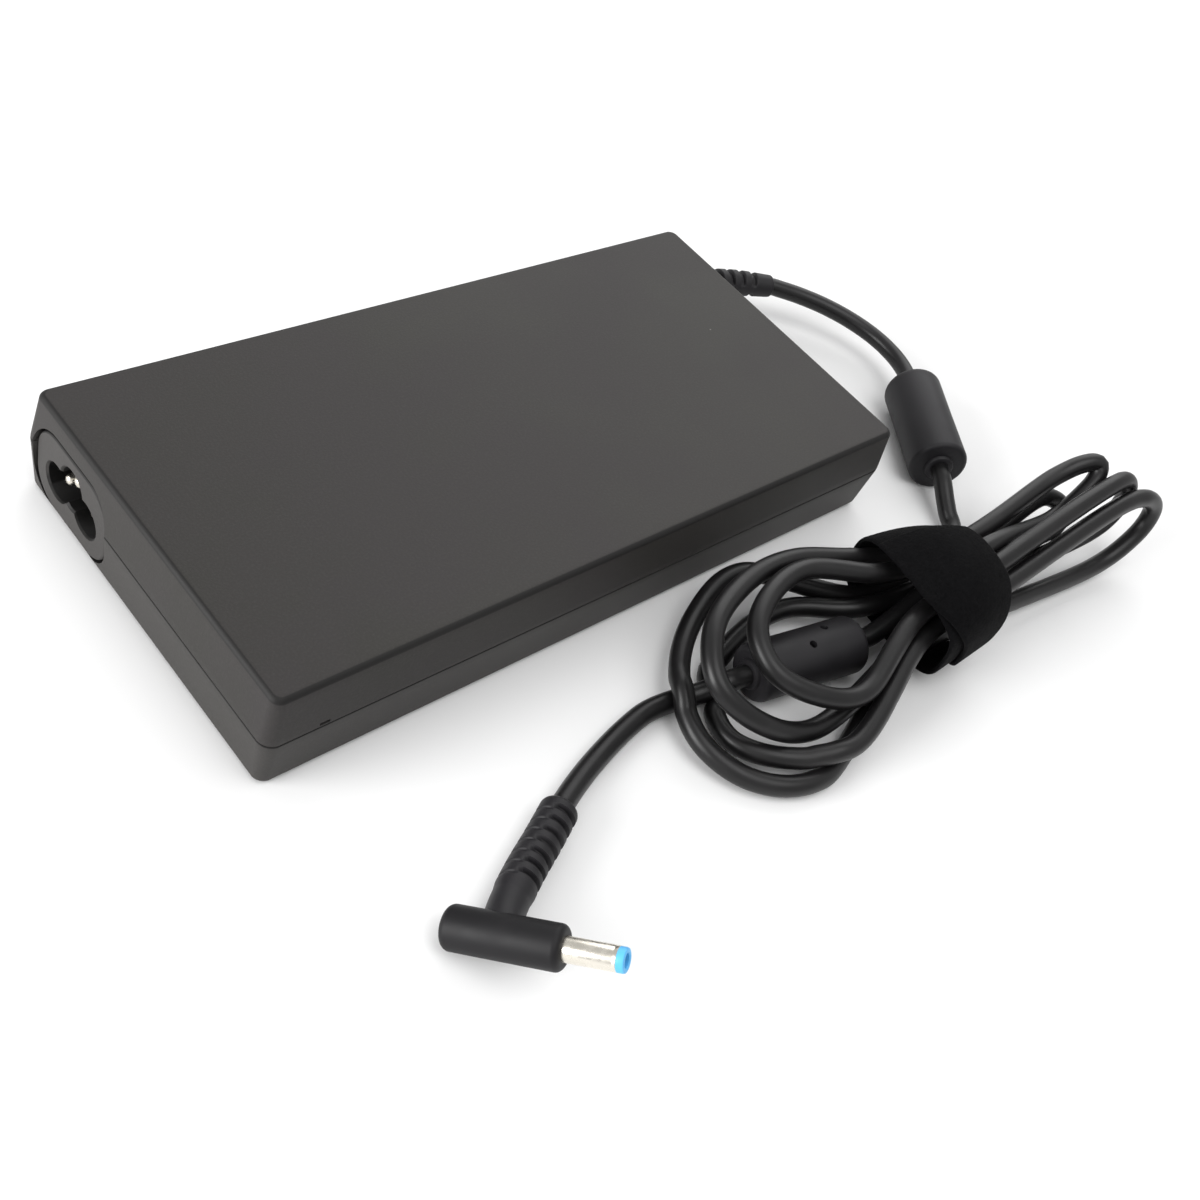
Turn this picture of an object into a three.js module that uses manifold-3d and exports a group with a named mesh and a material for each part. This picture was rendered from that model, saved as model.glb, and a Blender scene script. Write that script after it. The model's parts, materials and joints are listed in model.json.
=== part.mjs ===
// A laptop power adapter: a welded two-shell case with its electronics, a cloverleaf mains inlet,
// and a captive output cord with two ferrites, a right-angle barrel plug and a hook-and-loop strap
// round the spare cord. Millimetres, +Z up, origin at the middle of the case's underside, cord end
// towards +X.
import * as THREE from "three";
import { mergeVertices } from "three/addons/utils/BufferGeometryUtils.js";
import Module from "manifold-3d";

// ---- Driving dimensions -------------------------------------------------------------------------

const clearance = 0.3; // between pieces that touch

// Case: widest at its seam, from where both shells draw in towards the flat top and the flat underside.
const caseLength = 177.6;
const caseWidth = 86.2;
const caseHeight = 24.7;
const seamHeight = 13.2;
const topDraft = 1.4;
const bottomDraft = 1.0;
const caseCorner = 3.0;
const topEdge = 1.2;
const bottomEdge = 1.8;
const wall = 2.0;
const tongueHeight = 1.6;
const tongueThickness = 0.8;

// Rating label in a shallow recess of the underside.
const labelLength = 92;
const labelWidth = 54;
const labelCorner = 2;
const labelThickness = 0.3;
const labelLift = 0.1;

// Inlet: a rounded block in the -X end wall, with a three-lobed socket. Spaces are from the case's
// side, underside and top, and the lobes and pins are placed from the block's middle.
const inletSideSpace = 16.9;
const inletLowSpace = 1.4;
const inletTopSpace = 4.7;
const inletWidth = 26.5;
const inletCorner = 7.0;
const inletSetBack = 0.8;
const inletDepth = 17.0;
const socketDepth = 13.2;
const lobeRadius = 4.2;
const lobeSpacing = 5.2;
const lobeDrop = 1.2;
const earthLobeRadius = 3.9;
const earthLobeRise = 2.5;
const socketMiddle = 4.2;
const socketMiddleDrop = 2.6;
const pinRadius = 1.2;
const pinSpacing = 5.0;
const earthPinRise = 3.1;
const pinRecess = 1.8;
const earthPinRecess = 0.9;
const pinTail = 3.0;

// Strain relief of the output cord, from inside the +X wall to its tip.
const glandSideSpace = 10.1;
const glandHeight = 10.5;
const glandFlangeRadius = 6.4;
const glandFlangeThickness = 2.0;
const glandFlangeSpace = 1.2;
const glandNeckRadius = 4.7;
const glandNeckEnd = 7.5;
const glandTipSkin = 0.65;
const glandRibDepth = 0.7;
const glandRibs = 4;
const glandRibbedFrom = 18.5;
const glandRibPitch = 3.75;
const glandGroove = 1.5;

// Board and electronics.
const boardEndSpace = 1.0;
const boardCordSpace = 6.6;
const boardSideSpace = 6.1;
const boardThickness = 1.6;
const boardLift = 2.4;
const postRadius = 2.2;
const shieldThickness = 0.5;
const sheetThickness = 0.4;
const shieldSideSpace = 6.0;
const shieldEndSpace = 5.0;
const spreaderThickness = 1.0;
const spreaderInletSpace = 18;
const spreaderCordSpace = 14;
const spreaderSideSpace = 4;
const padThickness = 0.8;
const padSpace = 24;
const padSideSpace = 13;

// The parts on the board are drawn for a board of these sizes with this room above it, and are
// fitted to the real one. Their places are from the board's middle, and their heights are for the
// drawn room.
const drawnLength = 144;
const drawnWidth = 74;
const drawnRoom = 13.7;
const filmPart = { length: 17, width: 8.5, height: 12, place: [-55, 8] };
const fusePart = { radius: 2.6, length: 10, place: [-65, 31] };
const mainsChoke = { outer: 9, inner: 5, height: 7, wire: 1.3, place: [-57, -16] };
const boostChoke = { outer: 11, inner: 6, height: 8, wire: 1.3, place: [-29, -16] };
const outputChoke = { outer: 7.5, inner: 4.2, height: 6, wire: 1.2, place: [49, -14] };
const bridgePart = { width: 15, height: 12, thickness: 3.4, place: [-41, -31] };
const transistorPart = { width: 10, height: 12, thickness: 3.2 };
const powerPlaces = [[1, 27.4], [41, 27.4]];
const bulkCan = { radius: 8, height: 13, places: [[-32, 14], [-13, 14]] };
const outputCan = { radius: 5, height: 13, places: [[39, 12], [51, 12], [63, 12]] };
const sinkPart = { height: 12, thickness: 1.6, finDepth: 3 };
const primarySink = { length: 46, fins: 9, place: [-9, 28] };
const secondarySink = { length: 34, fins: 7, place: [41, 28] };
const corePart = { length: 30, width: 12, height: 13, leg: 6, place: [13, -12] };
const windingPart = { length: 17.4, overhang: 4.5 };
const chokeLift = 2;
const windingSweep = 2.2;
const fullWindingSweep = 5;

// Cord and the pieces on it.
const cordDiameter = 4.7;
const ferriteDiameter = 15.4;
const ferriteLength = 32;
const ferriteEdge = 2.6;
const plugFerriteDiameter = 13.2;
const plugFerriteLength = 29.4;
const plugFerriteEdge = 1.6;
const ferriteEndWall = 2.2;
const ferriteSkin = 1.5;
const bodyRadius = 4.1;
const bodyLength = 22.2;
const bodyEdge = 1.5;
const bootRadius = 3.85;
const bootRibs = 7;
const bootRibbedFrom = 2.5;
const bootRibPitch = 2.85;
const bootGroove = 1.0;
const bootGrooveDepth = 0.8;
const barrelRadius = 2.25;
const barrelReach = 11.0;
const barrelWall = 0.35;
const barrelSeat = 4.0;
const tipRingLength = 1.4;
const tipLining = 5.0;
const tipLiningWall = 0.3;
const plugPinRadius = 0.35;
const plugPinRecess = 0.8;

// Hank of spare cord, in its own frame: u along it, v across it, origin on the floor under the strap.
const hankMiddle = new THREE.Vector3(72, -80, 0);
const hankTurn = THREE.MathUtils.degToRad(-7.5);
const hankHeight = 20.5;
const hankLift = 0.3;
const strapStart = -16.5;
const strapEnd = 3.5;
const strapThickness = 0.9;
const strapRoundness = 2.8;
const leftCore = { across: 1.5, halfWidth: 15.6, halfHeight: 9.0 };
const rightCore = { across: 0.8, halfWidth: 12.4, halfHeight: 10.3 };
const flapFrom = THREE.MathUtils.degToRad(62);
const flapTo = THREE.MathUtils.degToRad(202);
const leftLoop = { along: -56, across: -1, radius: 25 };
const leftPocket = { along: -54, across: 0, radius: 12, end: -24, side: 11 };
const leftMouth = [-15, 20];
const rightMouth = [-10, 18];
const rightLoop = { along: 70, across: 2, radius: 11, waist: [45, -9] };
const rightSmallLoop = { along: 52, across: 16, radius: 8 };
const tunnelPlace = [-76, 3.5];
const tunnelLength = 30;
const tunnelSideSpace = 2;
const tunnelTopSpace = 4.5;
const waistOverlap = 2;

// Middle line of the strain relief and the start of the cord beyond it, from where the cord leaves
// the case's wall.
const glandOffsets = [
  [-(wall + glandFlangeSpace + glandFlangeThickness), 0, 0],
  [1.2, 0, 0],
  [9.2, -0.3, 0],
  [19.2, -3.0, 0.1],
  [29.3, -8.1, 0.3],
];
const leadOffsets = [
  [29.8, -8.5, 0.3],
  [36.4, -13.6, -0.5],
];

// Output cord from the strain relief, through the ferrite by the case, to the hank.
const leadPoints = [
  ...leadOffsets.map(cordExit),
  [131.2, 13.0, 9.2],
  [135.8, 5.4, 8.4],
  [138.0, -3.0, 7.9],
  [137.4, -11.0, 7.7],
  [134.7, -17.2, 7.8],
  [131.7, -21.3, 7.8],
  [122.2, -34.2, 7.8],
  [112.8, -47.1, 7.8],
  [110.2, -50.7, 7.6],
  [107.7, -55.0, 5.6],
  [105.6, -59.0, 3.8],
  [104.4, -61.8, 3.0],
];
const ferriteEntry = 7;
const ferriteExit = 9;

// Output cord from the hank, through the ferrite inside its left loop, to the plug's boot.
const tailPoints = [
  [47.0, -77.4, 7.2],
  [45.0, -77.0, 6.9],
  [42.6, -76.6, 6.7],
  [28.1, -73.9, 6.7],
  [13.7, -71.2, 6.7],
  [8.4, -70.2, 6.2],
  [2.6, -68.3, 3.4],
  [-4.8, -66.4, 2.5],
  [-11.0, -65.9, 2.4],
  [-17.4, -66.8, 2.4],
  [-25.0, -68.6, 2.5],
  [-32.8, -71.0, 3.0],
  [-38.9, -73.3, 3.7],
  [-42.6, -74.9, 4.1],
];
const plugFerriteEntry = 2;
const plugFerriteExit = 4;

// Plug: the middle of its body, the way its barrel points, and the boot's middle line from the cord
// to the body.
const plugStart = new THREE.Vector3(-76.3, -83.1, 3.2);
const plugTurn = THREE.MathUtils.degToRad(-61);
const plugRise = THREE.MathUtils.degToRad(27.5);
const bootPoints = [
  [-43.0, -75.1, 4.1],
  [-50.3, -78.7, 4.3],
  [-59.4, -83.0, 5.0],
  [-68.0, -87.9, 6.5],
  [-71.8, -91.2, 8.0],
];

function cordExit([x, y, z]) {
  return [caseLength / 2 + x, caseWidth / 2 - glandSideSpace + y, glandHeight + z];
}

// ---- Places that follow from them ---------------------------------------------------------------

const topLength = caseLength - 2 * topDraft;
const topWidth = caseWidth - 2 * topDraft;
const bottomLength = caseLength - 2 * bottomDraft;
const bottomWidth = caseWidth - 2 * bottomDraft;
const inletFace = inletSetBack - caseLength / 2;
const inletSide = caseWidth / 2 - inletSideSpace;
const inletTall = caseHeight - inletLowSpace - inletTopSpace;
const inletHeight = inletLowSpace + inletTall / 2;
const lobeHeight = inletHeight - lobeDrop;
const earthLobeHeight = inletHeight + earthLobeRise;
const earthPinHeight = inletHeight + earthPinRise;
const glandPoints = glandOffsets.map(cordExit);
const glandSide = caseWidth / 2 - glandSideSpace;
const glandTipRadius = cordDiameter / 2 + glandTipSkin;
const boardStart = inletFace + inletDepth + pinTail + boardEndSpace;
const boardEnd = glandPoints[0][0] - boardCordSpace;
const boardLength = boardEnd - boardStart;
const boardMiddle = (boardEnd + boardStart) / 2;
const boardWidth = caseWidth - 2 * boardSideSpace;
const shieldLength = boardLength - 2 * shieldEndSpace;
const shieldWidth = boardWidth - 2 * shieldSideSpace;
const shieldBase = wall + clearance;
const sheetBase = shieldBase + shieldThickness + clearance;
const boardBase = wall + boardLift;
const partBase = boardBase + boardThickness + clearance;
const padBase = caseHeight - wall - clearance - padThickness;
const spreaderBase = padBase - clearance - spreaderThickness;
const spreaderStart = boardStart + spreaderInletSpace;
const spreaderLength = boardEnd - spreaderCordSpace - spreaderStart;
const spreaderWidth = boardWidth - 2 * spreaderSideSpace;
const planFit = Math.min(boardLength / drawnLength, boardWidth / drawnWidth);
const roomFit = (spreaderBase - clearance - partBase) / drawnRoom;

// ---- Materials ----------------------------------------------------------------------------------

function finish(color, roughness, metalness = 0) {
  return new THREE.MeshStandardMaterial({ color, roughness, metalness });
}
const upperPlastic = finish(0x2e2d2c, 0.72);
const lowerPlastic = finish(0x343331, 0.68);
const socketPlastic = finish(0x1b1a1a, 0.6);
const cordRubber = finish(0x222123, 0.5);
const mouldedRubber = finish(0x29282b, 0.62);
const strapFabric = finish(0x121214, 0.95);
const nickel = finish(0xd6d0c2, 0.28, 1.0);
const bluePlastic = finish(0x3fa0e6, 0.45);
const labelPaper = finish(0x1d1d1d, 0.5);
const boardResin = finish(0x2f5a35, 0.6);
const aluminium = finish(0xb4b6b8, 0.4, 1.0);
const polyester = finish(0xd8d4c4, 0.5);
const ferriteCeramic = finish(0x3b3a3a, 0.8);
const copper = finish(0xb87040, 0.35, 1.0);
const yellowTape = finish(0xd9b43a, 0.6);
const capacitorSleeve = finish(0x1d2a4a, 0.4);
const filmBox = finish(0xb8a24a, 0.5);
const epoxy = finish(0x161616, 0.55);
const padSilicone = finish(0x7f8f99, 0.8);

// ---- Solids -------------------------------------------------------------------------------------

const wasm = await Module();
wasm.setup();

function toSolid(geometry) {
  const bare = geometry.index ? geometry.toNonIndexed() : geometry.clone();
  bare.deleteAttribute("normal");
  bare.deleteAttribute("uv");
  const merged = mergeVertices(bare, 1e-4);
  return new wasm.Manifold(
    new wasm.Mesh({
      numProp: 3,
      vertProperties: new Float32Array(merged.attributes.position.array),
      triVerts: new Uint32Array(merged.index.array),
    }),
  );
}

function toGeometry(solid) {
  const mesh = solid.getMesh();
  const positions = new Float32Array(mesh.numVert * 3);
  for (let i = 0; i < mesh.numVert; i++) {
    const first = i * mesh.numProp;
    positions.set(mesh.vertProperties.subarray(first, first + 3), i * 3);
  }
  const geometry = new THREE.BufferGeometry();
  geometry.setAttribute("position", new THREE.BufferAttribute(positions, 3));
  geometry.setIndex(new THREE.BufferAttribute(new Uint32Array(mesh.triVerts), 1));
  geometry.computeVertexNormals();
  return geometry;
}

function cut(geometry, ...tools) {
  let solid = toSolid(geometry);
  for (const tool of tools) solid = solid.subtract(toSolid(tool));
  return toGeometry(solid);
}

function join(geometry, ...others) {
  let solid = toSolid(geometry);
  for (const other of others) solid = solid.add(toSolid(other));
  return toGeometry(solid);
}

// ---- Shapes -------------------------------------------------------------------------------------

const cornerSteps = 4;

// A rounded rectangle in the XY plane at height z, as a ring of points.
function roundedRing(length, width, corner, z) {
  const ring = [];
  for (let quarter = 0; quarter < 4; quarter++) {
    const signX = quarter === 0 || quarter === 3 ? 1 : -1;
    const signY = quarter < 2 ? 1 : -1;
    for (let step = 0; step <= cornerSteps; step++) {
      const angle = ((quarter + step / cornerSteps) * Math.PI) / 2;
      const x = signX * (length / 2 - corner) + corner * Math.cos(angle);
      const y = signY * (width / 2 - corner) + corner * Math.sin(angle);
      ring.push(new THREE.Vector3(x, y, z));
    }
  }
  return ring;
}

// A closed skin over a stack of rings with equal counts, with a flat cap on each end.
function loft(rings) {
  const count = rings[0].length;
  const corners = [];
  for (let level = 0; level + 1 < rings.length; level++) {
    for (let i = 0; i < count; i++) {
      const next = (i + 1) % count;
      const [a, b] = [rings[level][i], rings[level][next]];
      const [c, d] = [rings[level + 1][next], rings[level + 1][i]];
      corners.push(a, b, c, a, c, d);
    }
  }
  const middle = (ring) => ring.reduce((sum, p) => sum.add(p), new THREE.Vector3()).divideScalar(count);
  const first = rings[0];
  const last = rings[rings.length - 1];
  const [firstMiddle, lastMiddle] = [middle(first), middle(last)];
  for (let i = 0; i < count; i++) {
    const next = (i + 1) % count;
    corners.push(firstMiddle, first[next], first[i]);
    corners.push(lastMiddle, last[i], last[next]);
  }
  return new THREE.BufferGeometry().setFromPoints(corners);
}

function box(length, width, height) {
  return new THREE.BoxGeometry(length, width, height);
}

function cylinder(radius, length, sides = 20) {
  return new THREE.CylinderGeometry(radius, radius, length, sides);
}

// A cylinder along X, between two x values.
function rodAlongX(radius, fromX, toX, y, z, sides = 20) {
  const rod = cylinder(radius, toX - fromX, sides).rotateZ(-Math.PI / 2);
  return rod.translate((fromX + toX) / 2, y, z);
}

// A turned piece about +Z from [radius, height] pairs, the outline going up on the outside.
function turned(pairs, sides = 24) {
  const outline = pairs.map(([radius, height]) => new THREE.Vector2(radius, height));
  return new THREE.LatheGeometry(outline, sides).rotateX(Math.PI / 2);
}

// The quarter round of an edge, as [radius, height] pairs from the end face to the side, or back.
function edgeRound(radius, edge, end, towardsEnd, steps = 3) {
  const pairs = [];
  for (let step = 0; step <= steps; step++) {
    const angle = ((step / steps) * Math.PI) / 2;
    const reach = radius - edge + edge * Math.sin(angle);
    const depth = edge - edge * Math.cos(angle);
    pairs.push([reach, end + towardsEnd * depth]);
  }
  return pairs;
}

function curveThrough(points) {
  const vectors = points.map((p) => new THREE.Vector3(...p));
  return new THREE.CatmullRomCurve3(vectors, false, "centripetal");
}

// A solid of round sections along a curve: radiusAt gives the radius at each fraction of its length.
function sweptRounds(points, sections, sides) {
  const curve = curveThrough(points);
  const up = new THREE.Vector3(0, 0, 1);
  const rings = sections.map(([fraction, radius]) => {
    const centre = curve.getPointAt(fraction);
    const along = curve.getTangentAt(fraction);
    const across = new THREE.Vector3().crossVectors(up, along).normalize();
    const rise = new THREE.Vector3().crossVectors(along, across);
    const ring = [];
    for (let i = 0; i < sides; i++) {
      const angle = (i / sides) * 2 * Math.PI;
      const offset = across.clone().multiplyScalar(radius * Math.cos(angle));
      offset.addScaledVector(rise, radius * Math.sin(angle));
      ring.push(centre.clone().add(offset));
    }
    return ring;
  });
  return loft(rings);
}

function roundShape(radius, sides) {
  const corners = [];
  for (let i = 0; i < sides; i++) {
    const angle = (i / sides) * 2 * Math.PI;
    corners.push(new THREE.Vector2(radius * Math.cos(angle), radius * Math.sin(angle)));
  }
  return new THREE.Shape(corners);
}

function cordTube(points, steps) {
  const section = roundShape(cordDiameter / 2, 10);
  return new THREE.ExtrudeGeometry(section, { steps, extrudePath: curveThrough(points) });
}

function extruded(shape, depth, curveSegments = 8) {
  return new THREE.ExtrudeGeometry(shape, { depth, bevelEnabled: false, curveSegments });
}

function roundedShape(width, height, corner) {
  const shape = new THREE.Shape();
  const [x, y] = [width / 2, height / 2];
  shape.moveTo(x, y - corner);
  shape.absarc(x - corner, y - corner, corner, 0, Math.PI / 2);
  shape.absarc(corner - x, y - corner, corner, Math.PI / 2, Math.PI);
  shape.absarc(corner - x, corner - y, corner, Math.PI, 1.5 * Math.PI);
  shape.absarc(x - corner, corner - y, corner, 1.5 * Math.PI, 2 * Math.PI);
  return shape;
}

// An extrusion whose shape faces -X, its depth running towards +X from x.
function facingInlet(shape, x, depth, y, z) {
  return extruded(shape, depth).rotateX(Math.PI / 2).rotateZ(Math.PI / 2).translate(x, y, z);
}

// ---- Case ---------------------------------------------------------------------------------------

const seamGap = clearance / 2;

function insetRing(length, width, inset, corner, z) {
  return roundedRing(length - 2 * inset, width - 2 * inset, Math.max(corner, wall / 2), z);
}

function upperOuter() {
  const rings = [insetRing(caseLength, caseWidth, 0, caseCorner, seamHeight + seamGap)];
  const steps = 3;
  for (let step = 0; step <= steps; step++) {
    const angle = ((step / steps) * Math.PI) / 2;
    const inset = topEdge * (1 - Math.cos(angle));
    const z = caseHeight - topEdge + topEdge * Math.sin(angle);
    rings.push(insetRing(topLength, topWidth, inset, caseCorner - inset, z));
  }
  return loft(rings);
}

function lowerOuter() {
  const rings = [];
  const steps = 4;
  for (let step = 0; step <= steps; step++) {
    const angle = ((step / steps) * Math.PI) / 2;
    const inset = bottomEdge * (1 - Math.sin(angle));
    const z = bottomEdge * (1 - Math.cos(angle));
    rings.push(insetRing(bottomLength, bottomWidth, inset, caseCorner, z));
  }
  rings.push(insetRing(caseLength, caseWidth, 0, caseCorner, seamHeight - seamGap));
  return loft(rings);
}

function cavity() {
  return loft([
    insetRing(bottomLength, bottomWidth, wall, caseCorner - wall, wall),
    insetRing(caseLength, caseWidth, wall, caseCorner - wall, seamHeight),
    insetRing(topLength, topWidth, wall, caseCorner - wall, caseHeight - wall),
  ]);
}

// A column inside the seam, its side a given distance outside the cavity's wall.
function seamColumn(outside, fromZ, toZ) {
  const inset = wall - outside;
  return loft([
    insetRing(caseLength, caseWidth, inset, caseCorner - inset, fromZ),
    insetRing(caseLength, caseWidth, inset, caseCorner - inset, toZ),
  ]);
}

function inletOpening() {
  const shape = roundedShape(
    inletWidth + 2 * clearance,
    inletTall + 2 * clearance,
    inletCorner + clearance,
  );
  const depth = wall + inletDepth + clearance;
  return facingInlet(shape, inletFace - wall, depth, inletSide, inletHeight);
}

function glandOpening() {
  const radius = glandNeckRadius + clearance;
  return rodAlongX(radius, caseLength / 2 - 2 * wall, caseLength / 2 + wall, glandSide, glandHeight);
}

function topShell() {
  const tongueTop = seamHeight + tongueHeight + clearance;
  const rebate = seamColumn(tongueThickness + clearance, seamHeight - wall, tongueTop);
  return cut(upperOuter(), cavity(), rebate, inletOpening(), glandOpening());
}

const postPlaces = [-1, 1].flatMap((end) => [-1, 1].map((side) => [
  boardMiddle + end * (boardLength / 2 - 2 * postRadius),
  side * (boardWidth / 2 - postRadius),
]));

function bottomShell() {
  const tongue = cut(
    seamColumn(tongueThickness, seamHeight - wall, seamHeight + tongueHeight),
    seamColumn(0, seamHeight - 2 * wall, seamHeight + 2 * tongueHeight),
  );
  const recessDepth = labelLift + labelThickness + clearance;
  const recess = box(labelLength + 2 * clearance, labelWidth + 2 * clearance, 2 * recessDepth);
  const hollowed = cut(lowerOuter(), cavity(), recess);
  const postTop = wall + boardLift - clearance;
  const posts = postPlaces.map(([x, y]) => (
    cylinder(postRadius, postTop - wall / 2, 12)
      .rotateX(Math.PI / 2)
      .translate(x, y, (postTop + wall / 2) / 2)
  ));
  return cut(join(hollowed, tongue, ...posts), inletOpening(), glandOpening());
}

function ratingLabel() {
  const outline = roundedShape(labelLength, labelWidth, labelCorner);
  return extruded(outline, labelThickness, 3).translate(0, 0, labelLift);
}

// ---- Inlet --------------------------------------------------------------------------------------

function inletBody() {
  const block = facingInlet(
    roundedShape(inletWidth, inletTall, inletCorner), inletFace, inletDepth, inletSide, inletHeight,
  );
  const bottom = inletFace + socketDepth;
  const before = inletFace - wall;
  const lobes = [
    rodAlongX(lobeRadius, before, bottom, inletSide - lobeSpacing, lobeHeight, 24),
    rodAlongX(lobeRadius, before, bottom, inletSide + lobeSpacing, lobeHeight, 24),
    rodAlongX(earthLobeRadius, before, bottom, inletSide, earthLobeHeight, 24),
  ];
  const middleLow = inletHeight - socketMiddleDrop;
  const middleTall = earthLobeHeight - middleLow;
  const middleZ = (earthLobeHeight + middleLow) / 2;
  const middle = box(bottom - before, 2 * socketMiddle, middleTall);
  middle.translate((bottom + before) / 2, inletSide, middleZ);
  const holes = pinPlaces().map(([y, z]) => (
    rodAlongX(pinRadius + clearance, inletFace, inletFace + inletDepth + wall, y, z, 12)
  ));
  return cut(block, ...lobes, middle, ...holes);
}

function pinPlaces() {
  return [
    [inletSide - pinSpacing, lobeHeight],
    [inletSide + pinSpacing, lobeHeight],
    [inletSide, earthPinHeight],
  ];
}

// A contact pin: round-nosed, from its recess in the socket to its solder tail behind the inlet.
function contactPin([y, z], recess) {
  const start = inletFace + recess;
  const length = inletFace + inletDepth + pinTail - start;
  const nose = edgeRound(pinRadius, pinRadius * 0.8, 0, 1);
  const profile = [[0, 0], ...nose, [pinRadius, length], [0, length]];
  return turned(profile, 12).rotateY(Math.PI / 2).translate(start, y, z);
}

// ---- Strain relief ------------------------------------------------------------------------------

function cordGland() {
  const length = curveThrough(glandPoints).getLength();
  const radiusAt = (distance) => (
    THREE.MathUtils.mapLinear(distance, glandNeckEnd, length, glandNeckRadius, glandTipRadius)
  );
  const places = [
    [0, glandFlangeRadius],
    [glandFlangeThickness, glandFlangeRadius],
    [glandFlangeThickness, glandNeckRadius],
    [glandNeckEnd, glandNeckRadius],
  ];
  for (let rib = 0; rib < glandRibs; rib++) {
    const start = glandRibbedFrom + rib * glandRibPitch;
    const end = start + glandGroove;
    places.push([start, radiusAt(start)], [start, radiusAt(start) - glandRibDepth]);
    places.push([end, radiusAt(end) - glandRibDepth], [end, radiusAt(end)]);
  }
  places.push([length, glandTipRadius]);
  return sweptRounds(glandPoints, asFractions(places, length), 16);
}

// Turns distances along a curve into fractions of its length.
function asFractions(places, length) {
  return places.map(([distance, radius]) => [distance / length, radius]);
}

// ---- Electronics --------------------------------------------------------------------------------

function plate(length, width, thickness, corner = 1.5) {
  return extruded(roundedShape(length, width, corner), thickness, 3);
}

function ring(outer, inner, height, sides = 20) {
  return turned([[inner, 0], [outer, 0], [outer, height], [inner, height], [inner, 0]], sides);
}

// A sleeve of wire round part of a ring core, clear of the core by the common gap.
function coilOnRing({ outer, inner, height, wire }, sweep, turn = 0) {
  const grown = outer + clearance;
  const sleeve = cut(
    ring(grown + wire, inner - clearance - wire, height + 2 * clearance + 2 * wire),
    ring(grown, inner - clearance, height + 2 * clearance).translate(0, 0, wire),
  );
  const wedge = new THREE.Shape([new THREE.Vector2(0, 0)]);
  const reach = 2 * outer;
  for (let step = 0; step <= 4; step++) {
    const angle = turn + sweep * (step / 4 - 0.5);
    wedge.lineTo(reach * Math.cos(angle), reach * Math.sin(angle));
  }
  const keep = extruded(wedge, height + 4 * wire).translate(0, 0, -wire);
  return toGeometry(toSolid(sleeve).intersect(toSolid(keep))).translate(0, 0, -wire - clearance);
}

// An electrolytic can with a rounded foot and top, and a crimp near its top.
function canCapacitor({ radius, height }) {
  const edge = 0.5;
  const crimp = 0.4;
  const crimpStart = height - 2.2;
  const profile = [
    [0, 0],
    ...edgeRound(radius, edge, 0, 1, 2),
    [radius, crimpStart],
    [radius - crimp, crimpStart + edge],
    [radius, crimpStart + 2 * edge],
    ...edgeRound(radius, edge, height, -1, 2).reverse(),
    [0, height],
  ];
  return turned(profile, 14);
}

const finGap = 0.3;

// A plate with fins, standing along X on the board.
function heatSink({ length, fins }) {
  const { height, thickness, finDepth } = sinkPart;
  const shape = new THREE.Shape([new THREE.Vector2(0, 0)]);
  shape.lineTo(length, 0);
  shape.lineTo(length, thickness);
  const pitch = length / fins;
  for (let fin = fins - 1; fin >= 0; fin--) {
    const right = (fin + 1 - finGap) * pitch;
    const left = (fin + finGap) * pitch;
    shape.lineTo(right, thickness);
    shape.lineTo(right, thickness + finDepth);
    shape.lineTo(left, thickness + finDepth);
    shape.lineTo(left, thickness);
  }
  shape.lineTo(0, thickness);
  return extruded(shape, height).translate(-length / 2, 0, 0);
}

// A power package: a moulded block with its screw hole near the top.
function powerPackage({ width, height, thickness }) {
  const corner = 0.8;
  const holeRadius = 1.6;
  const shape = roundedShape(width, height, corner);
  const hole = new THREE.Path();
  hole.absarc(0, height / 2 - 2 * holeRadius, holeRadius, 0, 2 * Math.PI, true);
  shape.holes.push(hole);
  return extruded(shape, thickness, 3).rotateX(Math.PI / 2).translate(0, 0, height / 2);
}

// The two halves of a ferrite transformer core as one frame, standing round the winding.
function transformerCore({ length, width, height, leg }) {
  const outer = box(length, width, height);
  const windowLength = (length - 3 * leg) / 2;
  const windowHeight = height - leg;
  const windows = [-1, 1].map((side) => (
    box(windowLength, 2 * width, windowHeight).translate(side * (leg + windowLength) / 2, 0, 0)
  ));
  return cut(outer, ...windows).translate(0, 0, height / 2);
}

// The winding round the core's middle leg, standing out past the core on both sides.
function transformerWinding({ width, height, leg }) {
  const tall = height - leg - 2 * clearance;
  const hole = box(leg + 2 * clearance, width + 2 * clearance, 2 * tall);
  const block = box(windingPart.length, width + 2 * windingPart.overhang, tall);
  return cut(block, hole).translate(0, 0, height / 2);
}

// ---- Cord pieces --------------------------------------------------------------------------------

// An overmoulded sleeve about +Z: open at both ends for the cord, with a chamber for its core.
function ferriteSleeve(diameter, length, edge) {
  const radius = diameter / 2;
  const bore = cordDiameter / 2 + clearance;
  const chamber = radius - ferriteSkin;
  return turned([
    [bore, 0],
    ...edgeRound(radius, edge, 0, 1, 4),
    ...edgeRound(radius, edge, length, -1, 4).reverse(),
    [bore, length],
    [bore, length - ferriteEndWall],
    [chamber, length - ferriteEndWall],
    [chamber, ferriteEndWall],
    [bore, ferriteEndWall],
    [bore, 0],
  ], 22);
}

function ferriteCore(diameter, length) {
  const outer = diameter / 2 - ferriteSkin - clearance;
  const inner = cordDiameter / 2 + 2 * clearance;
  const start = ferriteEndWall + clearance;
  return ring(outer, inner, length - 2 * start).translate(0, 0, start);
}

// Lays a piece made along +Z on the line between two points.
function laidBetween(geometry, from, to) {
  const start = new THREE.Vector3(...from);
  const direction = new THREE.Vector3(...to).sub(start).normalize();
  const turn = new THREE.Quaternion().setFromUnitVectors(new THREE.Vector3(0, 0, 1), direction);
  return geometry.applyQuaternion(turn).translate(start.x, start.y, start.z);
}

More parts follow.
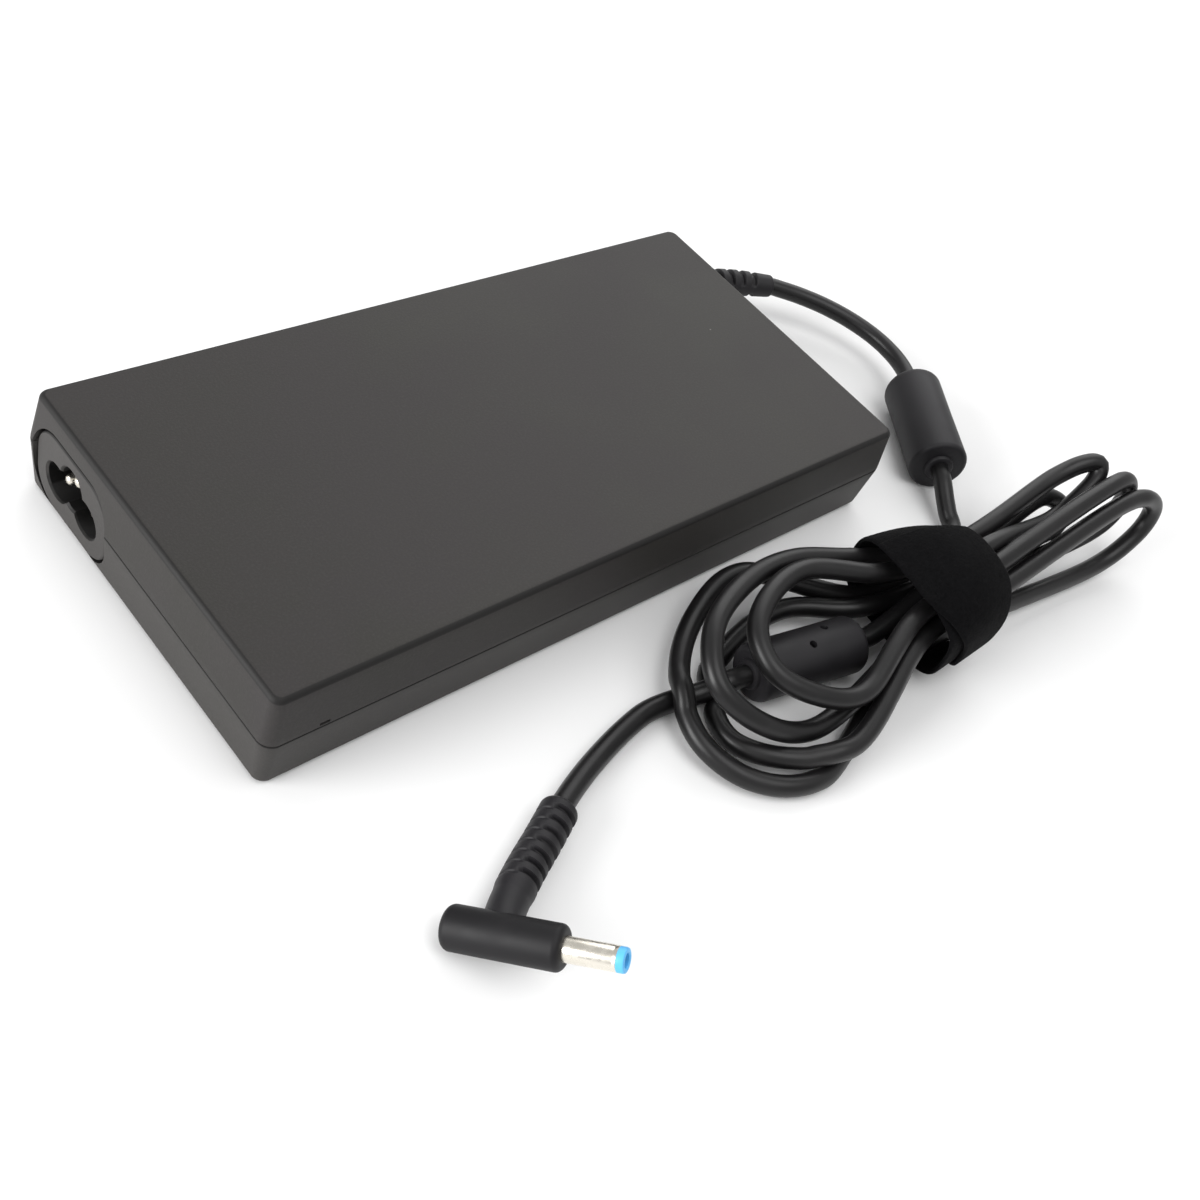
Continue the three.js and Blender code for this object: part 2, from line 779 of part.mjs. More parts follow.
const plugDirection = new THREE.Vector3(
  Math.cos(plugTurn) * Math.cos(plugRise),
  Math.sin(plugTurn) * Math.cos(plugRise),
  Math.sin(plugRise),
);

function alongPlug(geometry, distance) {
  const turn = new THREE.Quaternion().setFromUnitVectors(new THREE.Vector3(0, 0, 1), plugDirection);
  const place = plugStart.clone().addScaledVector(plugDirection, distance);
  return geometry.applyQuaternion(turn).translate(place.x, place.y, place.z);
}

function plugBody() {
  const bore = barrelRadius + clearance;
  const profile = [
    [0, 0],
    ...edgeRound(bodyRadius, bodyEdge, 0, 1, 4),
    ...edgeRound(bodyRadius, bodyEdge * 0.6, bodyLength, -1, 3).reverse(),
    [bore, bodyLength],
    [bore, bodyLength - barrelSeat],
    [0, bodyLength - barrelSeat],
  ];
  return alongPlug(turned(profile, 24), 0);
}

function plugBoot() {
  const length = curveThrough(bootPoints).getLength();
  const edge = bootGrooveDepth;
  const places = [[0, bootRadius - edge], [edge, bootRadius]];
  for (let rib = 0; rib < bootRibs; rib++) {
    const start = bootRibbedFrom + rib * bootRibPitch;
    const end = start + bootGroove;
    places.push([start, bootRadius], [start, bootRadius - bootGrooveDepth]);
    places.push([end, bootRadius - bootGrooveDepth], [end, bootRadius]);
  }
  const lastStraight = length - 2 * bodyRadius;
  places.push([lastStraight, bootRadius], [length, bootRadius]);
  const body = alongPlug(cylinder(bodyRadius + clearance, 3 * bodyLength, 24).rotateX(Math.PI / 2), 0);
  return cut(sweptRounds(bootPoints, asFractions(places, length), 16), body);
}

function plugBarrel() {
  const inner = barrelRadius - barrelWall;
  const start = bodyLength - barrelSeat + clearance;
  const length = barrelReach + barrelSeat - clearance - tipRingLength - clearance;
  return alongPlug(ring(barrelRadius, inner, length, 20), start);
}

function plugTip() {
  const lining = barrelRadius - barrelWall - clearance;
  const hole = lining - tipLiningWall;
  const length = tipRingLength + tipLining;
  const profile = [
    [hole, 0],
    [lining, 0],
    [lining, tipLining],
    [barrelRadius, tipLining],
    [barrelRadius, length],
    [hole, length],
    [hole, 0],
  ];
  return alongPlug(turned(profile, 20), bodyLength + barrelReach - length);
}

function plugPin() {
  const start = bodyLength - barrelSeat + clearance;
  const length = bodyLength + barrelReach - plugPinRecess - start;
  const nose = edgeRound(plugPinRadius, plugPinRadius / 2, length, -1, 2).reverse();
  return alongPlug(turned([[0, 0], [plugPinRadius, 0], ...nose, [0, length]], 10), start);
}

// ---- Hank and strap -----------------------------------------------------------------------------

// Turns a shape drawn in u and v, and lifted along z, into the hank's place.
function inHank(geometry) {
  return geometry.rotateZ(hankTurn).translate(hankMiddle.x, hankMiddle.y, hankMiddle.z);
}

// The strap's rounded section at one of its edges, grown outwards from the hank's core, standing on
// the floor.
function strapRing(u, core, grown, steps) {
  const round = (value) => Math.sign(value) * Math.abs(value) ** (2 / strapRoundness);
  const middle = hankLift + clearance + strapThickness + core.halfHeight;
  const ring = [];
  for (let step = 0; step < steps; step++) {
    const angle = (step / steps) * 2 * Math.PI;
    const v = core.across + (core.halfWidth + grown) * round(Math.cos(angle));
    const z = middle + (core.halfHeight + grown) * round(Math.sin(angle));
    ring.push(new THREE.Vector3(u, v, z));
  }
  return ring;
}

// A solid between the strap's two edges, or past them by a reach, its section tapering from one to
// the other.
function strapBlock(grown, reach = 0) {
  return loft([
    strapRing(strapStart - reach, leftCore, grown, 40),
    strapRing(strapEnd + reach, rightCore, grown, 40),
  ]);
}

function strapLayer(inner) {
  return cut(strapBlock(inner + strapThickness), strapBlock(inner, clearance));
}

function strapBand() {
  return inHank(strapLayer(clearance));
}

// The outer layer: it starts over the band on the far side, goes over the top and ends low on the
// near side.
function strapFlap() {
  const reach = 4 * leftCore.halfWidth;
  const wedge = new THREE.Shape([new THREE.Vector2(0, 0)]);
  for (let step = 0; step <= 6; step++) {
    const angle = flapFrom + ((flapTo - flapFrom) * step) / 6;
    wedge.lineTo(reach * Math.cos(angle), reach * Math.sin(angle));
  }
  const width = strapEnd - strapStart;
  const basis = new THREE.Matrix4().makeBasis(
    new THREE.Vector3(0, 1, 0),
    new THREE.Vector3(0, 0, 1),
    new THREE.Vector3(1, 0, 0),
  );
  const keep = extruded(wedge, 2 * width).applyMatrix4(basis);
  keep.translate(strapStart - width / 2, leftCore.across, hankLift + leftCore.halfHeight);
  const layer = strapLayer(strapThickness + 2 * clearance);
  return inHank(toGeometry(toSolid(layer).intersect(toSolid(keep))));
}

// The hank's outer shape: a flat-lying left bundle of loops, the waist inside the strap, and a
// right bundle.
function cordHank() {
  const degrees = THREE.MathUtils.degToRad;
  const quarter = Math.PI / 2;
  const leftEdge = strapStart - clearance;
  const rightEdge = strapEnd + clearance;
  const left = new THREE.Shape();
  left.moveTo(leftEdge, leftMouth[0]);
  left.lineTo(leftEdge, leftMouth[1]);
  left.absarc(leftLoop.along, leftLoop.across, leftLoop.radius, degrees(80), degrees(275), false);
  const pocket = new THREE.Path();
  pocket.absarc(leftPocket.along, leftPocket.across, leftPocket.radius, quarter, 3 * quarter, false);
  pocket.lineTo(leftPocket.end, -leftPocket.side);
  pocket.lineTo(leftPocket.end, leftPocket.side);
  left.holes.push(pocket);
  const right = new THREE.Shape();
  right.moveTo(rightEdge, rightMouth[0]);
  right.lineTo(...rightLoop.waist);
  right.absarc(rightLoop.along, rightLoop.across, rightLoop.radius, -quarter, degrees(60), false);
  const small = rightSmallLoop;
  right.absarc(small.along, small.across, small.radius, degrees(40), degrees(100), false);
  right.lineTo(rightEdge, rightMouth[1]);
  const tunnelWidth = cordDiameter + 2 * tunnelSideSpace;
  const tunnelTop = cordDiameter + tunnelTopSpace;
  const tunnel = box(tunnelLength, tunnelWidth, 2 * tunnelTop).translate(...tunnelPlace, 0);
  const waist = strapBlock(0, waistOverlap);
  const leftSolid = inHank(extruded(left, hankHeight, 10).translate(0, 0, hankLift));
  const rightSolid = inHank(extruded(right, hankHeight, 8).translate(0, 0, hankLift));
  return cut(join(leftSolid, rightSolid, inHank(waist)), inHank(tunnel));
}

// ---- Assembly -----------------------------------------------------------------------------------

const adapter = new THREE.Group();

function addPiece(name, geometry, material, x = 0, y = 0, z = 0, turn = 0) {
  const mesh = new THREE.Mesh(geometry, material.clone());
  mesh.name = name;
  mesh.position.set(x, y, z);
  mesh.rotation.z = turn;
  adapter.add(mesh);
}

function addCase() {
  addPiece("top_shell", topShell(), upperPlastic);
  addPiece("bottom_shell", bottomShell(), lowerPlastic);
  addPiece("rating_label", ratingLabel(), labelPaper);
  addPiece("inlet_body", inletBody(), socketPlastic);
  const [linePlace, neutralPlace, earthPlace] = pinPlaces();
  addPiece("line_pin", contactPin(linePlace, pinRecess), nickel);
  addPiece("neutral_pin", contactPin(neutralPlace, pinRecess), nickel);
  addPiece("earth_pin", contactPin(earthPlace, earthPinRecess), nickel);
  addPiece("cord_gland", cordGland(), mouldedRubber);
}

function addBoardStack() {
  const shield = plate(shieldLength, shieldWidth, shieldThickness);
  addPiece("shield_plate", shield, copper, boardMiddle, 0, shieldBase);
  const sheet = plate(shieldLength, shieldWidth, sheetThickness);
  addPiece("insulating_sheet", sheet, polyester, boardMiddle, 0, sheetBase);
  const board = plate(boardLength, boardWidth, boardThickness);
  addPiece("circuit_board", board, boardResin, boardMiddle, 0, boardBase);
  const spreaderMiddle = spreaderStart + spreaderLength / 2;
  const spreader = plate(spreaderLength, spreaderWidth, spreaderThickness);
  addPiece("heat_spreader", spreader, aluminium, spreaderMiddle, 0, spreaderBase);
  const pad = plate(spreaderLength - 2 * padSpace, spreaderWidth - 2 * padSideSpace, padThickness);
  addPiece("thermal_pad", pad, padSilicone, spreaderMiddle, 0, padBase);
}

// Adds a part drawn about its own foot to the board, fitted to the board and the room above it.
function addPart(name, geometry, material, [x, y], lift = 0) {
  const fitted = geometry.translate(0, 0, lift).scale(planFit, planFit, roomFit);
  const placeX = boardMiddle + (x * boardLength) / drawnLength;
  const placeY = (y * boardWidth) / drawnWidth;
  addPiece(name, fitted, material, placeX, placeY, partBase);
}

function addChoke(name, part, coils) {
  const core = ring(part.outer, part.inner, part.height);
  addPart(`${name}_core`, core, ferriteCeramic, part.place, chokeLift);
  coils.forEach(([coilName, sweep, turn]) => {
    addPart(coilName, coilOnRing(part, sweep, turn), copper, part.place, chokeLift);
  });
}

function addMainsSide() {
  const fuse = cylinder(fusePart.radius, fusePart.length, 16);
  addPart("fuse", fuse, polyester, fusePart.place, fusePart.radius);
  const film = box(filmPart.length, filmPart.width, filmPart.height);
  addPart("x_capacitor", film, filmBox, filmPart.place, filmPart.height / 2);
  addChoke("choke", mainsChoke, [
    ["choke_winding_1", windingSweep, 0],
    ["choke_winding_2", windingSweep, Math.PI],
  ]);
  addPart("bridge_rectifier", powerPackage(bridgePart), epoxy, bridgePart.place);
  addChoke("pfc_choke", boostChoke, [["pfc_choke_winding", fullWindingSweep, 0]]);
  bulkCan.places.forEach((place, index) => {
    addPart(`bulk_capacitor_${index + 1}`, canCapacitor(bulkCan), capacitorSleeve, place);
  });
}

function addPowerStage() {
  const [transistorPlace, rectifierPlace] = powerPlaces;
  addPart("primary_heat_sink", heatSink(primarySink), aluminium, primarySink.place);
  addPart("power_transistor", powerPackage(transistorPart), epoxy, transistorPlace);
  addPart("transformer_core", transformerCore(corePart), ferriteCeramic, corePart.place);
  addPart("transformer_winding", transformerWinding(corePart), yellowTape, corePart.place);
  addPart("secondary_heat_sink", heatSink(secondarySink), aluminium, secondarySink.place);
  addPart("rectifier_transistor", powerPackage(transistorPart), epoxy, rectifierPlace);
  outputCan.places.forEach((place, index) => {
    addPart(`output_capacitor_${index + 1}`, canCapacitor(outputCan), capacitorSleeve, place);
  });
  addChoke("output_choke", outputChoke, [["output_choke_winding", fullWindingSweep, 0]]);
}

function addFerrites() {
  const sleeve = ferriteSleeve(ferriteDiameter, ferriteLength, ferriteEdge);
  const core = ferriteCore(ferriteDiameter, ferriteLength);
  const [from, to] = [leadPoints[ferriteEntry], leadPoints[ferriteExit]];
  addPiece("case_ferrite_sleeve", laidBetween(sleeve, from, to), mouldedRubber);
  addPiece("case_ferrite_core", laidBetween(core, from, to), ferriteCeramic);
  const plugSleeve = ferriteSleeve(plugFerriteDiameter, plugFerriteLength, plugFerriteEdge);
  const plugCore = ferriteCore(plugFerriteDiameter, plugFerriteLength);
  const [plugFrom, plugTo] = [tailPoints[plugFerriteEntry], tailPoints[plugFerriteExit]];
  addPiece("plug_ferrite_sleeve", laidBetween(plugSleeve, plugFrom, plugTo), mouldedRubber);
  addPiece("plug_ferrite_core", laidBetween(plugCore, plugFrom, plugTo), ferriteCeramic);
}

function addCord() {
  addPiece("lead_cord", cordTube(leadPoints, 22), cordRubber);
  addPiece("cord_hank", cordHank(), cordRubber);
  addPiece("tail_cord", cordTube(tailPoints, 22), cordRubber);
  addPiece("plug_boot", plugBoot(), mouldedRubber);
  addPiece("plug_body", plugBody(), mouldedRubber);
  addPiece("plug_barrel", plugBarrel(), nickel);
  addPiece("plug_tip", plugTip(), bluePlastic);
  addPiece("plug_pin", plugPin(), nickel);
  addPiece("strap_band", strapBand(), strapFabric);
  addPiece("strap_flap", strapFlap(), strapFabric);
}

addCase();
addBoardStack();
addMainsSide();
addPowerStage();
addFerrites();
addCord();

export default adapter;
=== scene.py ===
"""Laptop power adapter: the looks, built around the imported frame."""

import json
import math

import bmesh
import bpy
import numpy as np
from mathutils import Matrix, Vector, noise


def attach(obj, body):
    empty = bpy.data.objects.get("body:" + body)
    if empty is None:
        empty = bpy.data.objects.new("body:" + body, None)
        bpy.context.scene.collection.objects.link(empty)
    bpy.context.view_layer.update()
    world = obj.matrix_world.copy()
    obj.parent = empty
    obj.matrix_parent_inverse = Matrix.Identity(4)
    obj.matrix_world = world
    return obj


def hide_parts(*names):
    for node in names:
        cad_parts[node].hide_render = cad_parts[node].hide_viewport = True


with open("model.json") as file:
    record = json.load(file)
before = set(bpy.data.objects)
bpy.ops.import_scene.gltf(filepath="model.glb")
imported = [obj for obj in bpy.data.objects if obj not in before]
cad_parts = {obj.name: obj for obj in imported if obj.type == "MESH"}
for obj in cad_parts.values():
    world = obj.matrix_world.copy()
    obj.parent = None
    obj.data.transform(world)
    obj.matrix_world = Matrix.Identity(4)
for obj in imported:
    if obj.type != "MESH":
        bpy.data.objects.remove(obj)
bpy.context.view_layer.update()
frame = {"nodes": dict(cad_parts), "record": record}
MM = 0.001

# ---- Camera ----
camera_data = bpy.data.cameras.new("camera")
camera_data.lens = 42.42
camera_data.sensor_width = 36.0
camera_data.clip_start = 0.01
camera = bpy.data.objects.new("camera", camera_data)
bpy.context.scene.collection.objects.link(camera)
camera_right = Vector((0.7188, -0.6285, 0.2970))
camera_up = Vector((0.3339, 0.6869, 0.6455))
camera_back = Vector((-0.6098, -0.3648, 0.7036))
camera_place = Vector((-186.88, -149.94, 218.50)) * MM
turned = Matrix((camera_right, camera_up, camera_back)).transposed().to_4x4()
camera.matrix_world = Matrix.Translation(camera_place) @ turned
bpy.context.scene.camera = camera

# ---- Sizes, in millimetres ----
CASE_LENGTH = 177.6
CASE_WIDTH = 86.2
CASE_HEIGHT = 24.7
CASE_CORNER = 3.0
SEAM_HEIGHT = 13.2
SEAM_GAP = 0.13
WALL = 2.0
TOP_DRAFT = 1.4
BOTTOM_DRAFT = 1.0
TOP_EDGE = 1.2
BOTTOM_EDGE = 1.8
TONGUE = 0.9

INLET_ACROSS = 26.2
INLET_HEIGHT = 10.7
INLET_FACE = -88.0
INLET_SIZE = (26.5, 18.6)
INLET_CORNER = 7.0
INLET_DEPTH = 17.0
SOCKET_DEPTH = 13.2

CORD_DIAMETER = 4.7
CORD_RADIUS = CORD_DIAMETER / 2
HANK_PLACE = np.array((72.0, -80.0, 0.0))
HANK_TURN = math.radians(-7.5)
ALONG = np.array((math.cos(HANK_TURN), math.sin(HANK_TURN), 0.0))
ACROSS = np.array((-math.sin(HANK_TURN), math.cos(HANK_TURN), 0.0))
UP = np.array((0.0, 0.0, 1.0))

GLAND = [(83.6, 33, 10.5), (90, 33, 10.5), (98, 32.7, 10.5), (108, 30, 10.6), (118.1, 24.9, 10.8)]
LEAD = [
    (118.6, 24.5, 10.8),
    (125.2, 19.4, 10.0),
    (131.2, 13.0, 9.2),
    (135.8, 5.4, 8.4),
    (138.0, -3.0, 7.9),
    (137.4, -11.0, 7.7),
    (134.7, -17.2, 7.8),
    (131.7, -21.3, 7.8),
    (122.2, -34.2, 7.8),
    (112.8, -47.1, 7.8),
    (110.2, -50.7, 7.6),
    (107.7, -55.0, 5.6),
    (105.6, -59.0, 3.8),
    (104.4, -61.8, 3.0),
]
TAIL = [
    (47.0, -77.4, 7.2),
    (45.0, -77.0, 6.9),
    (42.6, -76.6, 6.7),
    (28.1, -73.9, 6.7),
    (13.7, -71.2, 6.7),
    (8.4, -70.2, 6.2),
    (2.6, -68.3, 3.4),
    (-4.8, -66.4, 2.5),
    (-11.0, -65.9, 2.4),
    (-17.4, -66.8, 2.4),
    (-25.0, -68.6, 2.5),
    (-32.8, -71.0, 3.0),
    (-38.9, -73.3, 3.7),
    (-42.6, -74.9, 4.1),
]
INTO_BOOT = [(-46.0, -76.5, 4.1)]
BOOT = [
    (-43, -75.1, 4.1),
    (-50.3, -78.7, 4.3),
    (-59.4, -83.0, 5.0),
    (-68.0, -87.9, 6.5),
    (-71.8, -91.2, 8.0),
]
CASE_FERRITE = ((131.7, -21.3, 7.8), (112.8, -47.1, 7.8), 7.7)
PLUG_FERRITE = ((42.6, -76.6, 6.7), (13.7, -71.2, 6.7), 6.6)
PLUG_START = np.array((-76.3, -83.1, 3.2))
PLUG_TURN = math.radians(-61)
PLUG_RISE = math.radians(27.5)
PLUG_WAY = np.array(
    (
        math.cos(PLUG_TURN) * math.cos(PLUG_RISE),
        math.sin(PLUG_TURN) * math.cos(PLUG_RISE),
        math.sin(PLUG_RISE),
    )
)
PLUG_RADIUS = 4.1
PLUG_LENGTH = 22.2
BARREL_RADIUS = 2.25
BARREL_REACH = 11.0
TIP_LENGTH = 1.4


# ---- Curves ----
def hank(u, v, z):
    """A point given along, across and above the hank."""
    return HANK_PLACE + u * ALONG + v * ACROSS + z * UP


def in_hank(points):
    """Points as distances along, across and above the hank."""
    away = np.asarray(points) - HANK_PLACE
    return np.stack([away @ ALONG, away @ ACROSS, away @ UP], -1)


# The knots between which each round of a Catmull-Rom blend runs.
BLEND_ROUNDS = (((0, 1), (1, 2), (2, 3)), ((0, 2), (1, 3)), ((1, 2),))


def smooth(points, step):
    """A centripetal Catmull-Rom curve through the points."""
    points = np.array(points, float)
    first = 2 * points[0] - points[1]
    last = 2 * points[-1] - points[-2]
    padded = np.vstack([first, points, last])
    out = []
    for i in range(1, len(padded) - 2):
        four = padded[i - 1 : i + 3]
        knots = [0.0]
        for a, b in zip(four[:-1], four[1:]):
            knots.append(knots[-1] + math.sqrt(np.linalg.norm(b - a)) + 1e-9)
        count = max(2, int(np.linalg.norm(four[2] - four[1]) / step))
        for k in range(count):
            at = knots[1] + (knots[2] - knots[1]) * k / count
            level = list(four)
            for spans in BLEND_ROUNDS:
                blended = []
                for j, (low, high) in enumerate(spans):
                    share = (at - knots[low]) / (knots[high] - knots[low])
                    blended.append(level[j] * (1 - share) + level[j + 1] * share)
                level = blended
            out.append(level[0])
    out.append(points[-1])
    return np.array(out)


def even(points, step):
    """The same path with points an even step apart."""
    gaps = np.linalg.norm(np.diff(points, axis=0), axis=1)
    run = np.concatenate([[0.0], np.cumsum(gaps)])
    count = int(round(run[-1] / step))
    places = np.linspace(0, run[-1], count + 1)
    return np.stack([np.interp(places, run, points[:, k]) for k in range(3)], 1)


def path_length(points):
    """How long a path is along its points."""
    return float(np.linalg.norm(np.diff(points, axis=0), axis=1).sum())


# ---- Cord ----
LOOP_STATIONS = (80, 48, 16, -16, -48, -80)
MOUTH_LEFT = -19.0
MOUTH_RIGHT = 8.0


def loop(side, reach, half, depth, across, height, tilt, first, last, turn, twist=0.0, skew=0.0):
    """One end loop of the hank: its reach, half width, depth, middle and tilt.

    It starts in one slot of the strap's mouth and ends in another, given across and above the hank.
    """
    middle = side * (reach - depth)
    lean = math.radians(tilt)
    bend = []
    for degrees in LOOP_STATIONS:
        angle = math.radians(degrees * turn)
        u = middle + side * depth * math.cos(angle) + skew * math.sin(angle)
        v = across + half * math.sin(angle) * math.cos(lean)
        z = height + half * math.sin(angle) * math.sin(lean) + twist * math.cos(angle)
        bend.append((u, v, z))
    mouth = MOUTH_LEFT if side < 0 else MOUTH_RIGHT
    return [(mouth, *first)] + bend + [(mouth, *last)]


LOOPS = [
    loop(-1, 78.0, 25.0, 30.3, -0.7, 6.5, 4.5, (11.0, 5.2), (-9.5, 5.6), 1, -3.7, 7.0),
    loop(1, 76.5, 10.1, 17.5, -0.7, 12.5, 77.5, (-6.0, 5.4), (-5.0, 14.0), -1, 3.6),
    loop(-1, 70.7, 19.3, 33.2, -4.8, 6.5, 2.0, (-8.5, 12.0), (7.5, 9.0), -1, -2.2, 6.5),
    loop(1, 57.0, 4.6, 9.0, 13.2, 12.5, 42.0, (8.5, 10.0), (8.5, 15.5), 1),
    loop(-1, 62.0, 15.6, 26.0, -0.6, 15.0, 15.2, (8.5, 17.8), (-5.5, 16.6), 1, 2.0, 1.5),
    loop(1, 70.5, 9.0, 9.0, 5.0, 17.0, 85.0, (-1.0, 18.0), (0.0, 6.0), 1),
    loop(-1, 74.8, 18.6, 35.3, -0.5, 9.8, 17.0, (-9.6, 9.0), (13.6, 14.5), -1, 8.5, 8.4),
    loop(1, 61.6, 5.2, 15.5, 11.0, 16.2, 53.8, (8.0, 13.0), (4.0, 18.6), 1, 8.0, 1.3),
]


INTO_HANK = ((23.0, 16.6, 3.6), (10.0, 11.5, 5.0))
OUT_OF_HANK = (MOUTH_LEFT, 0.0, 8.5)


def cord_route():
    """The cord's whole route between the strain relief and the plug's boot."""
    points = [np.array(p, float) for p in LEAD]
    points += [hank(*p) for p in INTO_HANK]
    for one in LOOPS:
        points += [hank(*p) for p in one]
    points.append(hank(*OUT_OF_HANK))
    points += [np.array(p, float) for p in TAIL]
    return np.array(points)


# The strap's inside at its two edges: its middle across and above, its half width and half height.
TUNNEL_LEFT = np.array((2.0, 13.6, 11.6, 7.5))
TUNNEL_RIGHT = np.array((1.2, 10.4, 12.8, 8.7))
TUNNEL_ENDS = (-16.5, 3.5)
TUNNEL_MARGIN = 2
TUNNEL_POWER = 2.8

# How the strands are eased apart.
STRAND_GAP = CORD_DIAMETER + 0.15
SETTLE_STEPS = 260
LAST_STEPS = 30
SMOOTH_EVERY = 4
NEIGHBOURS = 8
SMOOTH_WIDTH = 3.0
RAMP = 12
PUSH_SHARE = 0.8
KEPT_SHARE = 0.999
FERRITE_GAP = 0.1
FLOOR_GAP = 0.02
TINY = 1e-9


def nearest_on(points, start, end):
    """Each point's offset and distance from a straight piece of line."""
    start = np.array(start)
    along = np.array(end) - start
    share = np.clip((points - start) @ along / (along @ along), 0, 1)
    away = points - (start + share[:, None] * along)
    return away, np.linalg.norm(away, axis=1)


def settle(points):
    """Eases the strands apart until they lie side by side, on the floor and inside the strap."""
    start = points.copy()
    count = len(points)
    first = np.linalg.norm(points - np.array(LEAD[-1]), axis=1).argmin()
    last = np.linalg.norm(points - np.array(TAIL[0]), axis=1).argmin()
    free = np.zeros(count)
    free[first : last + 1] = 1.0
    for k in range(RAMP):
        free[first + k] = k / RAMP
        free[last - k] = k / RAMP
    order = np.arange(count)
    apart = np.abs(order[:, None] - order[None]) > NEIGHBOURS
    kernel = np.exp(-0.5 * (np.arange(-NEIGHBOURS, NEIGHBOURS + 1) / SMOOTH_WIDTH) ** 2)
    kernel /= kernel.sum()
    passing = (order > first) & (order < last)
    for step in range(SETTLE_STEPS):
        square = (points**2).sum(1)
        squares = square[:, None] + square[None] - 2 * points @ points.T
        gaps = np.sqrt(np.maximum(squares, TINY))
        near = (gaps < STRAND_GAP) & apart
        weight = np.where(near, (STRAND_GAP - gaps) / gaps, 0)
        push = weight.sum(1)[:, None] * points - weight @ points
        push *= PUSH_SHARE / np.maximum(1, near.sum(1))[:, None]
        for a, b, radius in (CASE_FERRITE, PLUG_FERRITE):
            away, distance = nearest_on(points, a, b)
            room = radius + CORD_RADIUS + FERRITE_GAP
            hit = (distance < room) & passing
            push += away * np.where(hit, (room - distance) / (distance + TINY), 0)[:, None]
        points = points + push * free[:, None]
        place = in_hank(points)
        share = (place[:, 0] - TUNNEL_ENDS[0]) / (TUNNEL_ENDS[1] - TUNNEL_ENDS[0])
        share = np.clip(share, 0, 1)[:, None]
        tunnel = TUNNEL_LEFT * (1 - share) + TUNNEL_RIGHT * share
        off_v = place[:, 1] - tunnel[:, 0]
        off_z = place[:, 2] - tunnel[:, 2]
        fill = np.abs(off_v / tunnel[:, 1]) ** TUNNEL_POWER
        fill = (fill + np.abs(off_z / tunnel[:, 3]) ** TUNNEL_POWER) ** (1 / TUNNEL_POWER)
        inside = place[:, 0] > TUNNEL_ENDS[0] - TUNNEL_MARGIN
        inside &= place[:, 0] < TUNNEL_ENDS[1] + TUNNEL_MARGIN
        pull = np.where(inside & (fill > 1), 1 / np.maximum(fill, TINY) - 1, 0)
        points = points + (
            (pull * off_v)[:, None] * ACROSS + (pull * off_z)[:, None] * UP
        ) * free[:, None]
        moved = points - start
        if step < SETTLE_STEPS - LAST_STEPS or step % SMOOTH_EVERY == 0:
            columns = []
            for k in range(3):
                padded = np.pad(moved[:, k], NEIGHBOURS, mode="edge")
                columns.append(np.convolve(padded, kernel, "valid"))
            moved = np.stack(columns, 1)
        points = start + moved * KEPT_SHARE * np.minimum(1, free)[:, None]
        points[:, 2] = np.maximum(points[:, 2], CORD_RADIUS + FLOOR_GAP)
    return points


INSIDE_GLAND = slice(-14, -1)
CORD_STEP = 0.8
settled = settle(even(smooth(cord_route(), 1.0), CORD_RADIUS))
gland_end = smooth(GLAND, 1.0)[INSIDE_GLAND]
cord_path = np.vstack([gland_end, settled, np.array(INTO_BOOT, float)])
cord_path = even(smooth(cord_path, 0.6), CORD_STEP)


# ---- Mesh helpers ----
def add_mesh(name, verts, faces, sharp=40.0):
    """A mesh object from points in millimetres, smooth except at edges sharper than the angle."""
    mesh = bpy.data.meshes.new(name)
    mesh.from_pydata((np.asarray(verts, float) * MM).tolist(), [], faces)
    work = bmesh.new()
    work.from_mesh(mesh)
    bmesh.ops.remove_doubles(work, verts=work.verts, dist=1e-7)
    bmesh.ops.recalc_face_normals(work, faces=work.faces)
    work.to_mesh(mesh)
    work.free()
    piece = bpy.data.objects.new(name, mesh)
    bpy.context.scene.collection.objects.link(piece)
    shade(piece, sharp)
    return piece


def shade(piece, sharp=40.0):
    """Smooth shading with hard edges where two faces meet at more than the angle."""
    mesh = piece.data
    mesh.polygons.foreach_set("use_smooth", [True] * len(mesh.polygons))
    mesh.set_sharp_from_angle(angle=math.radians(sharp))
    mesh.update()


def skin(rings, closed=False):
    """Points and faces of a skin over rings of equal count; capped at both ends unless closed."""
    rings = np.asarray(rings, float)
    count, around = rings.shape[:2]
    verts = rings.reshape(-1, 3)
    faces = []
    spans = count if closed else count - 1
    for i in range(spans):
        low = i * around
        high = ((i + 1) % count) * around
        for j in range(around):
            k = (j + 1) % around
            faces.append((low + j, low + k, high + k, high + j))
    if not closed:
        faces.append(tuple(range(around))[::-1])
        faces.append(tuple((count - 1) * around + j for j in range(around)))
    return verts, faces


def frames(path):
    """Unit tangents of a path and two cross directions: level to the side, and upward."""
    tangents = np.gradient(path, axis=0)
    tangents /= np.linalg.norm(tangents, axis=1)[:, None]
    sides = np.cross(tangents, UP)
    sides /= np.linalg.norm(sides, axis=1)[:, None]
    ups = np.cross(sides, tangents)
    return tangents, sides, ups


def sweep(path, radii, around=64, carve=None):
    """Rings along a path; carve(run, angles) gives how much to take off the radius."""
    tangents, sides, ups = frames(path)
    gaps = np.linalg.norm(np.diff(path, axis=0), axis=1)
    runs = np.concatenate([[0.0], np.cumsum(gaps)])
    angles = np.linspace(0, 2 * math.pi, around, endpoint=False)
    rings = []
    for centre, side, up, radius, run in zip(path, sides, ups, radii, runs):
        reach = np.full(around, float(radius))
        if carve is not None:
            reach = reach - carve(run, angles)
        ring = centre + reach[:, None] * (
            np.cos(angles)[:, None] * side + np.sin(angles)[:, None] * up
        )
        rings.append(ring)
    return rings


